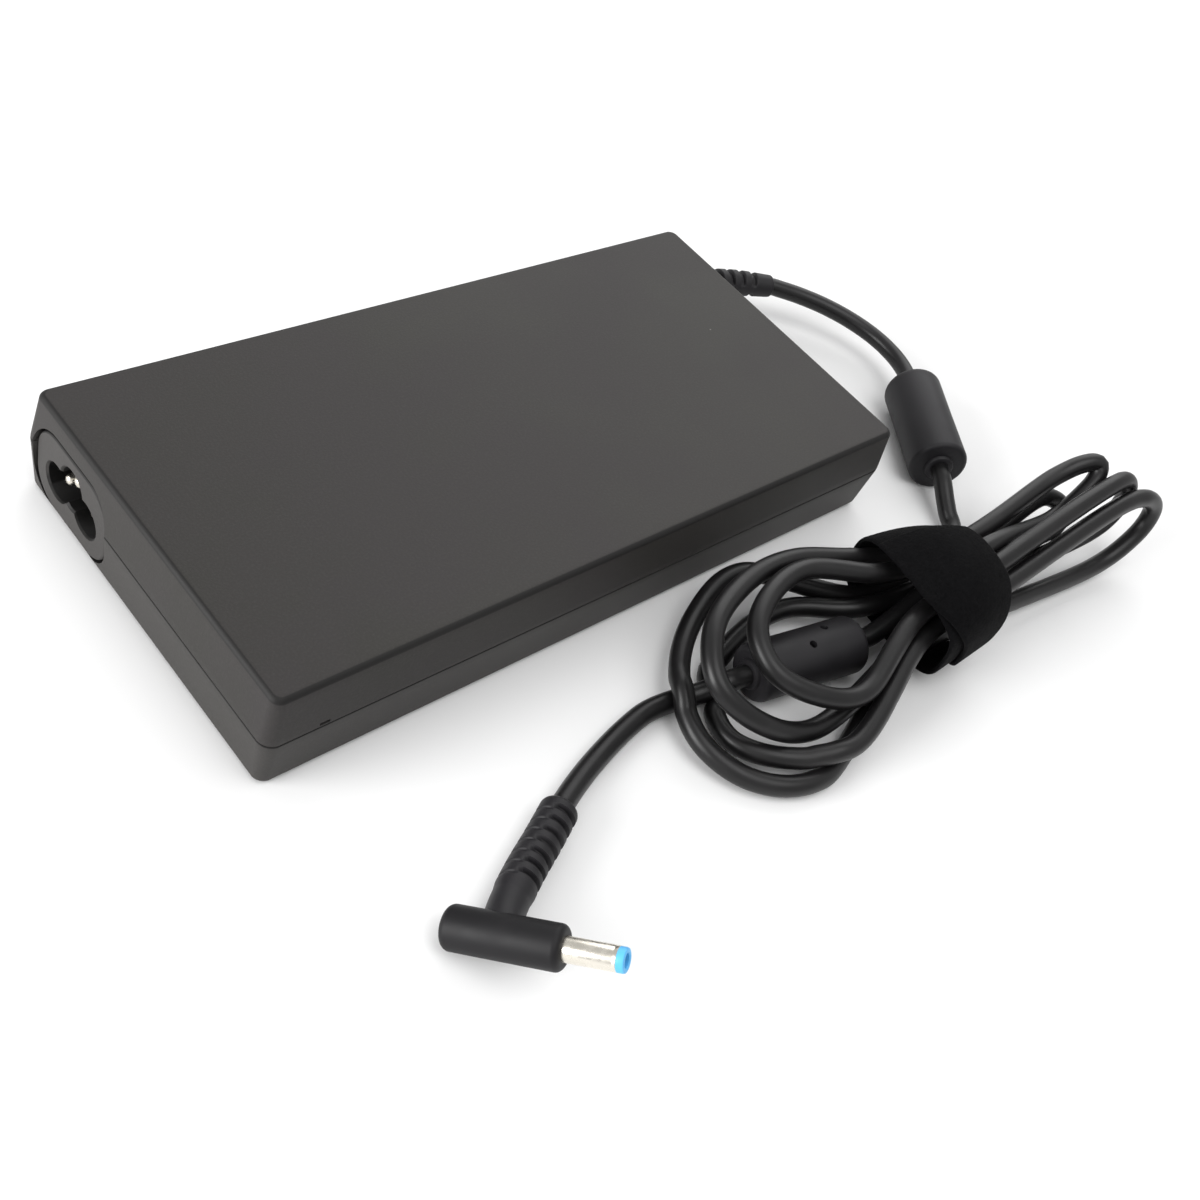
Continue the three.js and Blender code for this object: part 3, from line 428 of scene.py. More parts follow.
def turn_profile(start, way, profile, around=64):
    """Rings of a profile (run, radius) turned about a straight axis."""
    way = np.asarray(way, float) / np.linalg.norm(way)
    side = np.cross(way, UP)
    side /= np.linalg.norm(side)
    up = np.cross(side, way)
    angles = np.linspace(0, 2 * math.pi, around, endpoint=False)
    round_side = np.cos(angles)[:, None] * side + np.sin(angles)[:, None] * up
    return [np.asarray(start) + run * way + radius * round_side for run, radius in profile]


def arc(centre_run, centre_radius, size, begin, end, steps=8):
    """Part of a rounded edge in a profile: a quarter circle from one angle to another."""
    out = []
    for k in range(steps + 1):
        angle = math.radians(begin + (end - begin) * k / steps)
        run = centre_run + size * math.cos(angle)
        out.append((run, centre_radius + size * math.sin(angle)))
    return out


def rounded_ring(half_x, half_y, corner, z, per_corner=12):
    """Points round a rounded rectangle at a height."""
    corner = max(corner, 0.3)
    out = []
    places = ((1, 1, 0), (-1, 1, 90), (-1, -1, 180), (1, -1, 270))
    for side_x, side_y, begin in places:
        for k in range(per_corner + 1):
            angle = math.radians(begin + 90 * k / per_corner)
            x = side_x * (half_x - corner) + corner * math.cos(angle)
            y = side_y * (half_y - corner) + corner * math.sin(angle)
            out.append((x, y, z))
    return out


def cut(piece, cutters):
    """Takes the cutters out of the piece for good and removes them."""
    for cutter in cutters:
        modifier = piece.modifiers.new("cut", "BOOLEAN")
        modifier.operation = "DIFFERENCE"
        modifier.solver = "EXACT"
        modifier.object = cutter
    bake(piece)
    for cutter in cutters:
        bpy.data.objects.remove(cutter)
    return piece


def bake(piece):
    """Turns a piece's modifiers into plain mesh."""
    graph = bpy.context.evaluated_depsgraph_get()
    graph.update()
    mesh = bpy.data.meshes.new_from_object(piece.evaluated_get(graph))
    piece.modifiers.clear()
    piece.data = mesh
    shade(piece)


# ---- Materials ----
class Nodes:
    """A short way to write a node material in object coordinates."""

    def __init__(self, name):
        self.material = bpy.data.materials.new(name)
        self.material.use_nodes = True
        self.tree = self.material.node_tree
        self.shader = self.tree.nodes["Principled BSDF"]
        self.places = self.add("ShaderNodeTexCoord").outputs["Object"]

    def add(self, kind, **values):
        node = self.tree.nodes.new(kind)
        for key, value in values.items():
            setattr(node, key, value)
        return node

    def link(self, out, into):
        self.tree.links.new(out, into)

    def noise(self, scale, detail=4.0, rough=0.55, stretch=None, warp=0.0):
        """Fractal noise, its scale counted per metre and stretched by axis if asked."""
        node = self.add("ShaderNodeTexNoise")
        node.inputs["Scale"].default_value = scale
        node.inputs["Detail"].default_value = detail
        node.inputs["Roughness"].default_value = rough
        node.inputs["Distortion"].default_value = warp
        source = self.places
        if stretch is not None:
            mapping = self.add("ShaderNodeMapping")
            mapping.inputs["Scale"].default_value = stretch
            self.link(source, mapping.inputs["Vector"])
            source = mapping.outputs["Vector"]
        self.link(source, node.inputs["Vector"])
        return node.outputs["Fac"]

    def ranged(self, value, low, high, to_low, to_high):
        """A value taken from one range to another."""
        node = self.add("ShaderNodeMapRange")
        node.inputs["From Min"].default_value = low
        node.inputs["From Max"].default_value = high
        node.inputs["To Min"].default_value = to_low
        node.inputs["To Max"].default_value = to_high
        self.link(value, node.inputs["Value"])
        return node.outputs["Result"]

    def mix(self, share, first, second):
        """Two colours mixed; each is a colour or another node's output."""
        node = self.add("ShaderNodeMix", data_type="RGBA")
        if isinstance(share, float):
            node.inputs["Factor"].default_value = share
        else:
            self.link(share, node.inputs["Factor"])
        colours = [s for s in node.inputs if s.type == "RGBA"]
        for value, socket in zip((first, second), colours):
            if isinstance(value, tuple):
                socket.default_value = (*value, 1.0)
            else:
                self.link(value, socket)
        return [s for s in node.outputs if s.type == "RGBA"][0]

    def bump(self, height, depth, strength=1.0, normal=None):
        """A relief whose full height is the depth in millimetres."""
        node = self.add("ShaderNodeBump")
        node.inputs["Distance"].default_value = depth * MM
        node.inputs["Strength"].default_value = strength
        self.link(height, node.inputs["Height"])
        if normal is not None:
            self.link(normal, node.inputs["Normal"])
        return node.outputs["Normal"]

    def set(self, **values):
        """Sets or links the shader's inputs, named with _ for a space."""
        for key, value in values.items():
            socket = self.shader.inputs[key.replace("_", " ")]
            if isinstance(value, (int, float)):
                socket.default_value = value
            elif isinstance(value, tuple):
                socket.default_value = (*value, 1.0)
            else:
                self.link(value, socket)


def textured_plastic(name, colour, second, speck, dust=0.0):
    """Matte moulded plastic: spark-eroded grain, faint smudges, dust, and painted shade darkening the
    rounded rims by their slope.
    """
    n = Nodes(name)
    smudge = n.ranged(n.noise(26.0, 3.0, 0.5, warp=0.4), 0.42, 0.68, 0.0, 1.0)
    cloud = n.ranged(n.noise(9.0, 2.0), 0.35, 0.65, 0.0, 1.0)
    base = n.mix(smudge, colour, second)
    base = n.mix(n.ranged(cloud, 0.0, 1.0, 0.0, 0.35), base, tuple(c * 1.25 for c in colour))
    grain = n.noise(1900.0, 3.0, 0.6)
    base = n.mix(n.ranged(grain, 0.45, 0.75, 0.0, 0.35), base, tuple(c * 1.7 for c in colour))
    if dust > 0.0:
        cells = n.add("ShaderNodeTexVoronoi")
        cells.inputs["Scale"].default_value = 62.0
        n.link(n.places, cells.inputs["Vector"])
        spots = n.ranged(cells.outputs["Distance"], 0.012, 0.022, 1.0, 0.0)
        chosen = n.ranged(n.noise(70.0, 0.0), 0.6, 0.62, 0.0, dust)
        both = n.add("ShaderNodeMath", operation="MULTIPLY")
        n.link(spots, both.inputs[0])
        n.link(chosen, both.inputs[1])
        base = n.mix(both.outputs["Value"], base, speck)
    # Painted shade: faces between level and steep, the rounded rims, are darkened to stand for the
    # dark reflection they catch.
    slope = n.add("ShaderNodeSeparateXYZ")
    n.link(n.add("ShaderNodeNewGeometry").outputs["Normal"], slope.inputs["Vector"])
    rising = n.ranged(slope.outputs["Z"], 0.15, 0.35, 0.0, 1.0)
    level = n.ranged(slope.outputs["Z"], 0.93, 0.985, 1.0, 0.0)
    edge = n.add("ShaderNodeMath", operation="MULTIPLY")
    n.link(rising, edge.inputs[0])
    n.link(level, edge.inputs[1])
    painted_rim_shade = n.ranged(edge.outputs["Value"], 0.0, 1.0, 0.0, 0.85)
    base = n.mix(painted_rim_shade, base, tuple(c * 0.12 for c in colour))
    rough = n.ranged(smudge, 0.0, 1.0, 0.60, 0.55)
    n.set(Base_Color=base, Roughness=rough, Specular_IOR_Level=0.32)
    n.set(Normal=n.bump(grain, 0.035, 0.8, n.bump(n.noise(160.0, 2.0), 0.03, 0.5)))
    return n.material


def soft_plastic(name, colour, rough, second=None, grain=900.0, depth=0.02, specular=0.5):
    """Moulded rubber or vinyl: a soft gloss broken by fine streaks and handling marks."""
    n = Nodes(name)
    second = second or tuple(c * 1.8 + 0.004 for c in colour)
    marks = n.ranged(n.noise(75.0, 4.0, 0.6, warp=0.6), 0.45, 0.75, 0.0, 0.8)
    fine = n.noise(grain, 3.0)
    n.set(Base_Color=n.mix(marks, colour, second), Specular_IOR_Level=specular)
    rough_marks = n.ranged(marks, 0.0, 1.0, rough, rough + 0.14)
    n.set(Roughness=rough_marks)
    n.set(Normal=n.bump(fine, depth, 0.7, n.bump(n.noise(110.0, 2.0), 0.06, 0.4)))
    return n.material


def metal(name, colour, rough, stretch=None, second=None, depth=0.01):
    """Metal with drawn or brushed marks and a little tarnish."""
    n = Nodes(name)
    second = second or tuple(c * 0.8 for c in colour)
    brushed = n.noise(700.0, 4.0, 0.6, stretch)
    cloud = n.ranged(n.noise(120.0, 3.0), 0.4, 0.7, 0.0, 0.7)
    n.set(Base_Color=n.mix(cloud, colour, second), Metallic=1.0)
    n.set(Roughness=n.ranged(brushed, 0.3, 0.7, rough, rough + 0.16))
    n.set(Normal=n.bump(brushed, depth, 0.6))
    return n.material


def banded(name, colour, gap_colour, turns, rough, axis="Z", metallic=0.0):
    """Wound wire or wrapped tape: bands one beside another."""
    n = Nodes(name)
    wave = n.add("ShaderNodeTexWave", wave_type="BANDS", bands_direction=axis)
    wave.inputs["Scale"].default_value = turns
    wave.inputs["Distortion"].default_value = 0.6
    wave.inputs["Detail"].default_value = 1.0
    n.link(n.places, wave.inputs["Vector"])
    bands = wave.outputs["Fac"]
    tint = n.ranged(n.noise(300.0), 0.4, 0.7, 0.0, 0.5)
    base = n.mix(n.ranged(bands, 0.1, 0.5, 0.0, 1.0), gap_colour, colour)
    base = n.mix(tint, base, tuple(c * 0.75 for c in colour))
    n.set(Base_Color=base, Roughness=n.ranged(tint, 0.0, 0.5, rough, rough + 0.15))
    n.set(Metallic=metallic, Normal=n.bump(bands, 0.15, 0.8))
    return n.material


def fabric(name, colour, second):
    """Brushed loop fabric: short dark pile with lint and a soft sheen."""
    n = Nodes(name)
    pile = n.noise(1300.0, 5.0, 0.75, warp=0.8)
    tufts = n.noise(420.0, 3.0, 0.6)
    lint = n.ranged(n.noise(2400.0, 2.0, 0.5, (1.0, 4.0, 1.0)), 0.66, 0.74, 0.0, 0.5)
    base = n.mix(n.ranged(pile, 0.35, 0.7, 0.0, 1.0), colour, second)
    base = n.mix(lint, base, tuple(c * 2.2 for c in second))
    n.set(Base_Color=base, Roughness=n.ranged(tufts, 0.3, 0.7, 0.86, 1.0))
    n.set(Specular_IOR_Level=0.05, Sheen_Weight=0.02, Sheen_Roughness=0.5)
    n.set(Normal=n.bump(pile, 0.25, 1.0, n.bump(tufts, 0.25, 0.8)))
    return n.material


def board(name):
    """Solder mask over copper tracks."""
    n = Nodes(name)
    tracks = n.add("ShaderNodeTexBrick")
    tracks.inputs["Scale"].default_value = 110.0
    tracks.inputs["Color1"].default_value = (0.012, 0.075, 0.03, 1.0)
    tracks.inputs["Color2"].default_value = (0.018, 0.105, 0.045, 1.0)
    tracks.inputs["Mortar"].default_value = (0.008, 0.04, 0.018, 1.0)
    n.link(n.places, tracks.inputs["Vector"])
    flux = n.ranged(n.noise(140.0), 0.5, 0.7, 0.0, 0.4)
    n.set(Base_Color=n.mix(flux, tracks.outputs["Color"], (0.06, 0.09, 0.03)))
    n.set(Roughness=n.ranged(flux, 0.0, 0.4, 0.3, 0.5))
    n.set(Normal=n.bump(tracks.outputs["Fac"], 0.04))
    return n.material


MATERIALS = {
    "upper_plastic": textured_plastic(
        "upper_plastic", (0.0245, 0.0220, 0.0215), (0.0200, 0.0190, 0.0160), (0.30, 0.28, 0.26), 0.9
    ),
    "lower_plastic": textured_plastic(
        "lower_plastic", (0.0330, 0.0305, 0.0290), (0.029, 0.0275, 0.0250), (0.30, 0.28, 0.26), 0.3
    ),
    "socket_plastic": textured_plastic(
        "socket_plastic", (0.036, 0.0335, 0.032), (0.030, 0.028, 0.0265), (0.3, 0.3, 0.3)
    ),
    # Near-black painted shade for the inside of the inlet's socket, which is in deep shadow.
    "socket_painted_shade": soft_plastic(
        "socket_painted_shade", (0.0035, 0.0033, 0.0032), 0.6, None, 900.0, 0.02, 0.2
    ),
    "handle_rubber": soft_plastic(
        "handle_rubber", (0.0062, 0.0058, 0.0068), 0.52, (0.010, 0.0092, 0.0105), 1500.0, 0.02, 0.28
    ),
    "cord_jacket": soft_plastic(
        "cord_jacket", (0.0050, 0.0047, 0.0050), 0.36, (0.0095, 0.0088, 0.0092), 700.0, 0.012, 0.38
    ),
    "moulded_rubber": soft_plastic(
        "moulded_rubber", (0.0105, 0.0098, 0.0115), 0.50, (0.017, 0.0155, 0.0178), 1500.0, 0.02, 0.32
    ),
    "strap_fabric": fabric("strap_fabric", (0.0012, 0.0012, 0.0014), (0.0040, 0.0038, 0.0044)),
    "nickel": metal("nickel", (0.80, 0.76, 0.68), 0.20, None, (0.72, 0.68, 0.58), 0.0015),
    "blue_plastic": soft_plastic(
        "blue_plastic", (0.09, 0.44, 0.82), 0.42, (0.12, 0.50, 0.86), 900.0, 0.01
    ),
    "label": soft_plastic("label", (0.045, 0.045, 0.048), 0.42, (0.06, 0.06, 0.064)),
    "board": board("board"),
    "aluminium": metal("aluminium", (0.74, 0.75, 0.77), 0.32, (1.0, 12.0, 1.0)),
    "film": soft_plastic("film", (0.52, 0.46, 0.30), 0.30, (0.60, 0.53, 0.36), 500.0, 0.02),
    "ferrite": soft_plastic(
        "ferrite", (0.030, 0.030, 0.032), 0.70, (0.07, 0.07, 0.07), 2200.0, 0.05
    ),
    "copper": banded("copper", (0.62, 0.24, 0.09), (0.10, 0.03, 0.01), 420.0, 0.32, "Y", 0.9),
    "tape": banded("tape", (0.72, 0.50, 0.06), (0.50, 0.33, 0.04), 90.0, 0.40),
    "can_sleeve": soft_plastic("can_sleeve", (0.012, 0.018, 0.060), 0.30, (0.02, 0.03, 0.09)),
    "film_box": soft_plastic("film_box", (0.55, 0.40, 0.06), 0.40, (0.62, 0.47, 0.10)),
    "epoxy": soft_plastic("epoxy", (0.016, 0.016, 0.017), 0.58, (0.05, 0.05, 0.05), 2600.0, 0.04),
    "silicone": soft_plastic("silicone", (0.34, 0.36, 0.38), 0.72, (0.42, 0.43, 0.44)),
}

for part in frame["record"]["subparts"]:
    node = frame["nodes"].get(part["node"])
    if node is not None:
        node.data.materials.clear()
        node.data.materials.append(MATERIALS[part["material_slot"]])


def dress(piece, slot, stands_for, body="adapter"):
    """Gives a piece its finish and its CAD body, and hides the CAD nodes it stands for."""
    piece.data.materials.clear()
    piece.data.materials.append(MATERIALS[slot])
    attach(piece, body)
    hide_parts(*stands_for)
    return piece


# ---- Case ----
TONGUE_THICKNESS = 1.0
TONGUE_SLACK = 0.1
LIP_SLACK = 0.15
SEAM_ROUNDING = 0.22
CORNER_CLOSING = 0.6
LEAST_INNER_EDGE = 0.6
EDGE_STEPS = 8
WALL_STEPS = 6
INNER_STEPS = 4
SEAM_STEPS = 3


def shell_rings(top):
    """Rings of one shell: from the middle of its inside, over the rim, to the middle outside."""
    way = 1 if top else -1
    far = CASE_HEIGHT if top else 0.0
    draft = TOP_DRAFT if top else BOTTOM_DRAFT
    edge = TOP_EDGE if top else BOTTOM_EDGE
    seam = SEAM_HEIGHT + way * SEAM_GAP
    reach = abs(far - SEAM_HEIGHT)

    def inset_at(z):
        return draft * abs(z - SEAM_HEIGHT) / reach

    def ring(inset, z):
        half_x = CASE_LENGTH / 2 - inset
        half_y = CASE_WIDTH / 2 - inset
        return rounded_ring(half_x, half_y, CASE_CORNER - CORNER_CLOSING * inset, z)

    rings = []
    inner_far = far - way * WALL
    inner_edge = max(edge - WALL, LEAST_INNER_EDGE)
    rings.append(ring(inset_at(inner_far) + WALL + 8, inner_far))
    rings.append(ring(inset_at(inner_far) + WALL + inner_edge, inner_far))
    for k in range(1, INNER_STEPS + 1):
        angle = math.radians(90 * (1 - k / INNER_STEPS))
        z = inner_far - way * inner_edge * (1 - math.sin(angle))
        rings.append(ring(inset_at(z) + WALL + inner_edge * (1 - math.cos(angle)), z))
    step_z = SEAM_HEIGHT + TONGUE
    lip = step_z + LIP_SLACK if top else step_z
    slack = -TONGUE_SLACK if top else TONGUE_SLACK
    rings.append(ring(inset_at(lip) + WALL, lip))
    rings.append(ring(inset_at(lip) + TONGUE_THICKNESS + slack, lip))
    rings.append(ring(TONGUE_THICKNESS + slack, seam))
    rounding = SEAM_ROUNDING
    for k in range(SEAM_STEPS + 1):
        angle = math.radians(90 * k / SEAM_STEPS)
        z = seam + way * rounding * (1 - math.cos(angle))
        rings.append(ring(inset_at(z) + rounding * (1 - math.sin(angle)), z))
    wall_top = far - way * edge
    for k in range(1, WALL_STEPS):
        z = seam + way * rounding + (wall_top - seam - way * rounding) * k / WALL_STEPS
        rings.append(ring(inset_at(z), z))
    for k in range(EDGE_STEPS + 1):
        angle = math.radians(90 * k / EDGE_STEPS)
        z = wall_top + way * edge * math.sin(angle)
        rings.append(ring(inset_at(z) + edge * (1 - math.cos(angle)), z))
    rings.append(ring(draft + edge + 0.25, far))
    rings.append(ring(draft + edge + 9.0, far))
    return rings


INLET_GAP = 0.5
GLAND_BORE = 5.2
GLAND_BORE_LENGTH = 14
GLAND_BORE_START = (80.0, 33.0, 10.5)
NOTCH_FROM = -77.6
NOTCH_TO = -75.4
NOTCH_DEPTH = 0.55
NOTCH_FOOT = 0.5
NOTCH_HEAD = 1.15
LABEL_SIZE = (92, 54)
LABEL_CORNER = 2.0
LABEL_SEAT_GAP = 0.3
LABEL_SEAT_DEPTH = 0.45


def rounded_prism(size, corner, x_stations, across, height, grow):
    """A rounded block along X, its outline grown at each station."""
    rings = []
    for x, more in zip(x_stations, grow):
        ring = rounded_ring(size[0] / 2 + more, size[1] / 2 + more, corner + more, 0.0, 10)
        rings.append([(x, across + p[0], height + p[1]) for p in ring])
    return rings


def inlet_cutter():
    """The recess that the inlet sits in, a little flared where it meets the end face."""
    stations = (-92.0, -88.95, -88.5, -70.0)
    growth = (0.95, INLET_GAP + 0.3, INLET_GAP, INLET_GAP)
    rings = rounded_prism(INLET_SIZE, INLET_CORNER, stations, INLET_ACROSS, INLET_HEIGHT, growth)
    return add_mesh("cutter", *skin(rings))


def gland_cutter():
    """The hole that the strain relief's neck passes through."""
    bore = ((0, GLAND_BORE), (GLAND_BORE_LENGTH, GLAND_BORE))
    rings = turn_profile(GLAND_BORE_START, (1, 0, 0), bore, 48)
    return add_mesh("cutter", *skin(rings))


def box_cutter(low, high):
    """A plain block between two corners."""
    (x0, y0, z0), (x1, y1, z1) = low, high
    rings = []
    for z in (z0, z1):
        rings.append([(x0, y0, z), (x1, y0, z), (x1, y1, z), (x0, y1, z)])
    return add_mesh("cutter", *skin(rings))


case_top = add_mesh("case_top", *skin(shell_rings(True)))
near_side = -CASE_WIDTH / 2
notch = box_cutter(
    (NOTCH_FROM, near_side - 1, SEAM_HEIGHT + NOTCH_FOOT),
    (NOTCH_TO, near_side + NOTCH_DEPTH, SEAM_HEIGHT + NOTCH_HEAD),
)
cut(case_top, [inlet_cutter(), gland_cutter(), notch])
dress(case_top, "upper_plastic", ["top_shell"])

case_bottom = add_mesh("case_bottom", *skin(shell_rings(False)))
label_half_x, label_half_y = LABEL_SIZE[0] / 2, LABEL_SIZE[1] / 2
label_seat = rounded_ring(
    label_half_x + LABEL_SEAT_GAP, label_half_y + LABEL_SEAT_GAP, LABEL_CORNER + LABEL_SEAT_GAP, 0.0
)
seat_rings = [[(p[0], p[1], z) for p in label_seat] for z in (-1.0, LABEL_SEAT_DEPTH)]
cut(case_bottom, [inlet_cutter(), gland_cutter(), add_mesh("cutter", *skin(seat_rings))])
dress(case_bottom, "lower_plastic", ["bottom_shell"])

label_rings = []
for inset, z in ((0.25, 0.12), (0.1, 0.14), (0.0, 0.22), (0.0, 0.42)):
    label_rings.append(rounded_ring(label_half_x - inset, label_half_y - inset, LABEL_CORNER, z))
rating_label = add_mesh("blank_label", *skin(label_rings))
dress(rating_label, "label", ["rating_label"])

# ---- Inlet ----
SIDE_LOBE = 4.2
SIDE_LOBE_ACROSS = 5.2
SIDE_LOBE_HEIGHT = 9.5
EARTH_LOBE = 3.9
EARTH_LOBE_HEIGHT = 13.2
SOCKET_MIDDLE = 10.5
SOCKET_WAIST = 3.2
SOCKET_CHAMFER = 1.3
SOCKET_POINTS = 168
PIN_RADIUS = 1.2
PIN_LENGTH = 17.0
PIN_OFFSET = 5.0
PIN_SETBACK = 1.8
EARTH_PIN_HEIGHT = 13.8
EARTH_PIN_SETBACK = 0.9
FACE_ROUNDING = 0.5
FACE_STEPS = 4
# How far behind the inlet's face the painted shade inside the socket begins.
PAINTED_SHADE_BEHIND_FACE = 0.55


def socket_reach(angle):
    """How far the three-lobed socket reaches from its middle in one direction."""
    way = np.array((math.cos(angle), math.sin(angle)))
    best = SOCKET_WAIST
    lobes = (
        (SIDE_LOBE_ACROSS, SIDE_LOBE_HEIGHT, SIDE_LOBE),
        (-SIDE_LOBE_ACROSS, SIDE_LOBE_HEIGHT, SIDE_LOBE),
        (0.0, EARTH_LOBE_HEIGHT, EARTH_LOBE),
    )
    for across, height, radius in lobes:
        middle = np.array((across, height - SOCKET_MIDDLE))
        along = middle @ way
        miss = middle @ middle - along**2
        if miss < radius**2:
            best = max(best, along + math.sqrt(radius**2 - miss))
    return best


def socket_cutter():
    """The three-lobed socket with a small chamfer at its mouth."""
    rings = []
    mouth = (INLET_FACE - 1.0, SOCKET_CHAMFER)
    for x, more in (mouth, (INLET_FACE + 0.45, 0.0), (INLET_FACE + SOCKET_DEPTH, 0.0)):
        ring = []
        for k in range(SOCKET_POINTS):
            angle = 2 * math.pi * k / SOCKET_POINTS
            reach = socket_reach(angle) + more
            y = INLET_ACROSS + reach * math.cos(angle)
            ring.append((x, y, SOCKET_MIDDLE + reach * math.sin(angle)))
        rings.append(ring)
    return add_mesh("cutter", *skin(rings))


stations = [INLET_FACE + INLET_DEPTH]
growth = [0.0]
for k in range(FACE_STEPS + 1):
    angle = math.radians(90 * k / FACE_STEPS)
    stations.append(INLET_FACE + FACE_ROUNDING * (1 - math.sin(angle)))
    growth.append(-FACE_ROUNDING * (1 - math.cos(angle)))
stations.append(INLET_FACE)
growth.append(-0.8)
inlet = add_mesh(
    "inlet_insulator",
    *skin(rounded_prism(INLET_SIZE, INLET_CORNER, stations, INLET_ACROSS, INLET_HEIGHT, growth)),
)
cut(inlet, [socket_cutter()])
dress(inlet, "socket_plastic", ["inlet_body"])
# The socket's inside, from just behind the face, gets the near-black material: painted shade for its
# deep shadow.
inlet.data.materials.append(MATERIALS["socket_painted_shade"])
for face in inlet.data.polygons:
    if face.center.x > (INLET_FACE + PAINTED_SHADE_BEHIND_FACE) * MM:
        face.material_index = 1


def contact_pin(name, y, z, setback, node):
    """A round-nosed contact that starts a little behind the inlet's face."""
    nose = [(0.0, 0.25), (0.1, 0.7), (0.35, 1.02), (0.75, PIN_RADIUS)]
    profile = nose + [(PIN_LENGTH, PIN_RADIUS)]
    rings = turn_profile((INLET_FACE + setback, y, z), (1, 0, 0), profile, 32)
    dress(add_mesh(name, *skin(rings)), "nickel", [node])


for name, side, node in (("contact_line", -1, "line_pin"), ("contact_neutral", 1, "neutral_pin")):
    contact_pin(name, INLET_ACROSS + side * PIN_OFFSET, SIDE_LOBE_HEIGHT, PIN_SETBACK, node)
contact_pin("contact_earth", INLET_ACROSS, EARTH_PIN_HEIGHT, EARTH_PIN_SETBACK, "earth_pin")


# ---- Strain relief ----
def pulse(run, begin, pitch, count, width, soft=0.18):
    """1 inside each groove of a row and 0 between them, with soft edges."""
    value = 0.0
    for k in range(count):
        off = abs(run - (begin + k * pitch))
        value = max(value, min(1.0, max(0.0, (width / 2 + soft - off) / (2 * soft))))
    return value * value * (3 - 2 * value)


def facing(angles, centre, half, soft=0.25):
    """1 where the direction lies within half of the centre angle, falling softly to 0."""
    off = np.abs((angles - centre + math.pi) % (2 * math.pi) - math.pi)
    value = np.clip((half + soft - off) / (2 * soft), 0, 1)
    return value * value * (3 - 2 * value)


GLAND_NECK = 4.7
GLAND_TIP = 3.0
GLAND_LEAST = 2.45
GLAND_TAPER_FROM = 7.5
FLANGE_FACE = 88.65
FLANGE_RADIUS = 6.4
FLANGE_WIDTH = 2.0
FLANGE_DROP = 0.5
TIP_ROUNDING = 0.8
GLAND_SLOTS = {"begin": 18.5, "pitch": 3.75, "count": 4, "width": 1.5}
GLAND_SLOT_DEPTH = 0.95
GLAND_SLOT_HALF = 1.05

gland_path = even(smooth(GLAND, 0.5), 0.25)
gland_run = np.linspace(0, path_length(gland_path), len(gland_path))
flange_from = FLANGE_FACE - GLAND[0][0]
gland_radii = []
for run in gland_run:
    taper = (run - GLAND_TAPER_FROM) / (gland_run[-1] - GLAND_TAPER_FROM)
    taper = min(1.0, max(0.0, taper))
    radius = GLAND_NECK + (GLAND_TIP - GLAND_NECK) * taper**0.9
    if run < flange_from:
        radius = GLAND_NECK
    elif run < flange_from + FLANGE_WIDTH:
        off = (run - flange_from) / FLANGE_WIDTH
        radius = FLANGE_RADIUS - FLANGE_DROP * max(0.0, (off - 0.6) / 0.4) ** 2
    end = gland_run[-1] - run
    if end < TIP_ROUNDING:
        drop = TIP_ROUNDING**2 - (TIP_ROUNDING - end) ** 2
        radius -= TIP_ROUNDING - math.sqrt(max(0.0, drop))
    gland_radii.append(max(radius, GLAND_LEAST))


def gland_carve(run, angles):
    """Flexing slots above and below the strain relief."""
    above = facing(angles, 0.5 * math.pi, GLAND_SLOT_HALF)
    below = facing(angles, 1.5 * math.pi, GLAND_SLOT_HALF)
    return GLAND_SLOT_DEPTH * pulse(run, **GLAND_SLOTS) * (above + below)


gland = add_mesh("strain_relief", *skin(sweep(gland_path, gland_radii, 72, gland_carve)), sharp=50)
dress(gland, "moulded_rubber", ["cord_gland"])


# ---- Ferrites ----
COLLAR_REACH = 0.9
COLLAR_CHAMFER = 0.3
HOLE_DEPTH = 1.6
HOLE_STATIONS = ((0.0, 0.8), (1.3, 0.85), (2.6, 1.3))


def mould_hole(base, out, way):
    """A small tapered hole left by a mould pin, from its bottom outwards."""
    other = np.cross(out, way)
    rings = []
    for rise, size in HOLE_STATIONS:
        ring = []
        for k in range(24):
            angle = 2 * math.pi * k / 24
            around = math.cos(angle) * way + math.sin(angle) * other
            ring.append(base + rise * out + size * around)
        rings.append(ring)
    return add_mesh("cutter", *skin(rings))


def ferrite(name, ends, edge, collar, node, holes=()):
    """An overmoulded ferrite between two ends, with a collar at each and mould holes."""
    start, end = np.array(ends[0]), np.array(ends[1])
    radius = ends[2]
    length = float(np.linalg.norm(end - start))
    far_edge, near_edge = edge
    bevel_at = COLLAR_REACH - COLLAR_CHAMFER
    profile = [(-COLLAR_REACH, 2.4), (-COLLAR_REACH, collar - COLLAR_CHAMFER)]
    profile += [(-bevel_at, collar), (0.0, collar + 0.15)]
    profile += arc(far_edge, radius - far_edge, far_edge, 180, 90)
    profile += [(length * 0.5, radius - 0.06)]
    profile += arc(length - near_edge, radius - near_edge, near_edge, 90, 0)
    profile += [(length, collar + 0.15), (length + bevel_at, collar)]
    profile += [(length + COLLAR_REACH, collar - COLLAR_CHAMFER), (length + COLLAR_REACH, 2.4)]
    piece = add_mesh(name, *skin(turn_profile(start, end - start, profile, 96)), sharp=50)
    way = (end - start) / length
    cutters = []
    for run, lean in holes:
        side = np.cross(way, UP)
        out = math.cos(lean) * UP + math.sin(lean) * side
        base = start + run * way + (radius - HOLE_DEPTH) * out
        cutters.append(mould_hole(base, out, way))
    if cutters:
        cut(piece, cutters)
    dress(piece, "moulded_rubber", [node])
    return piece


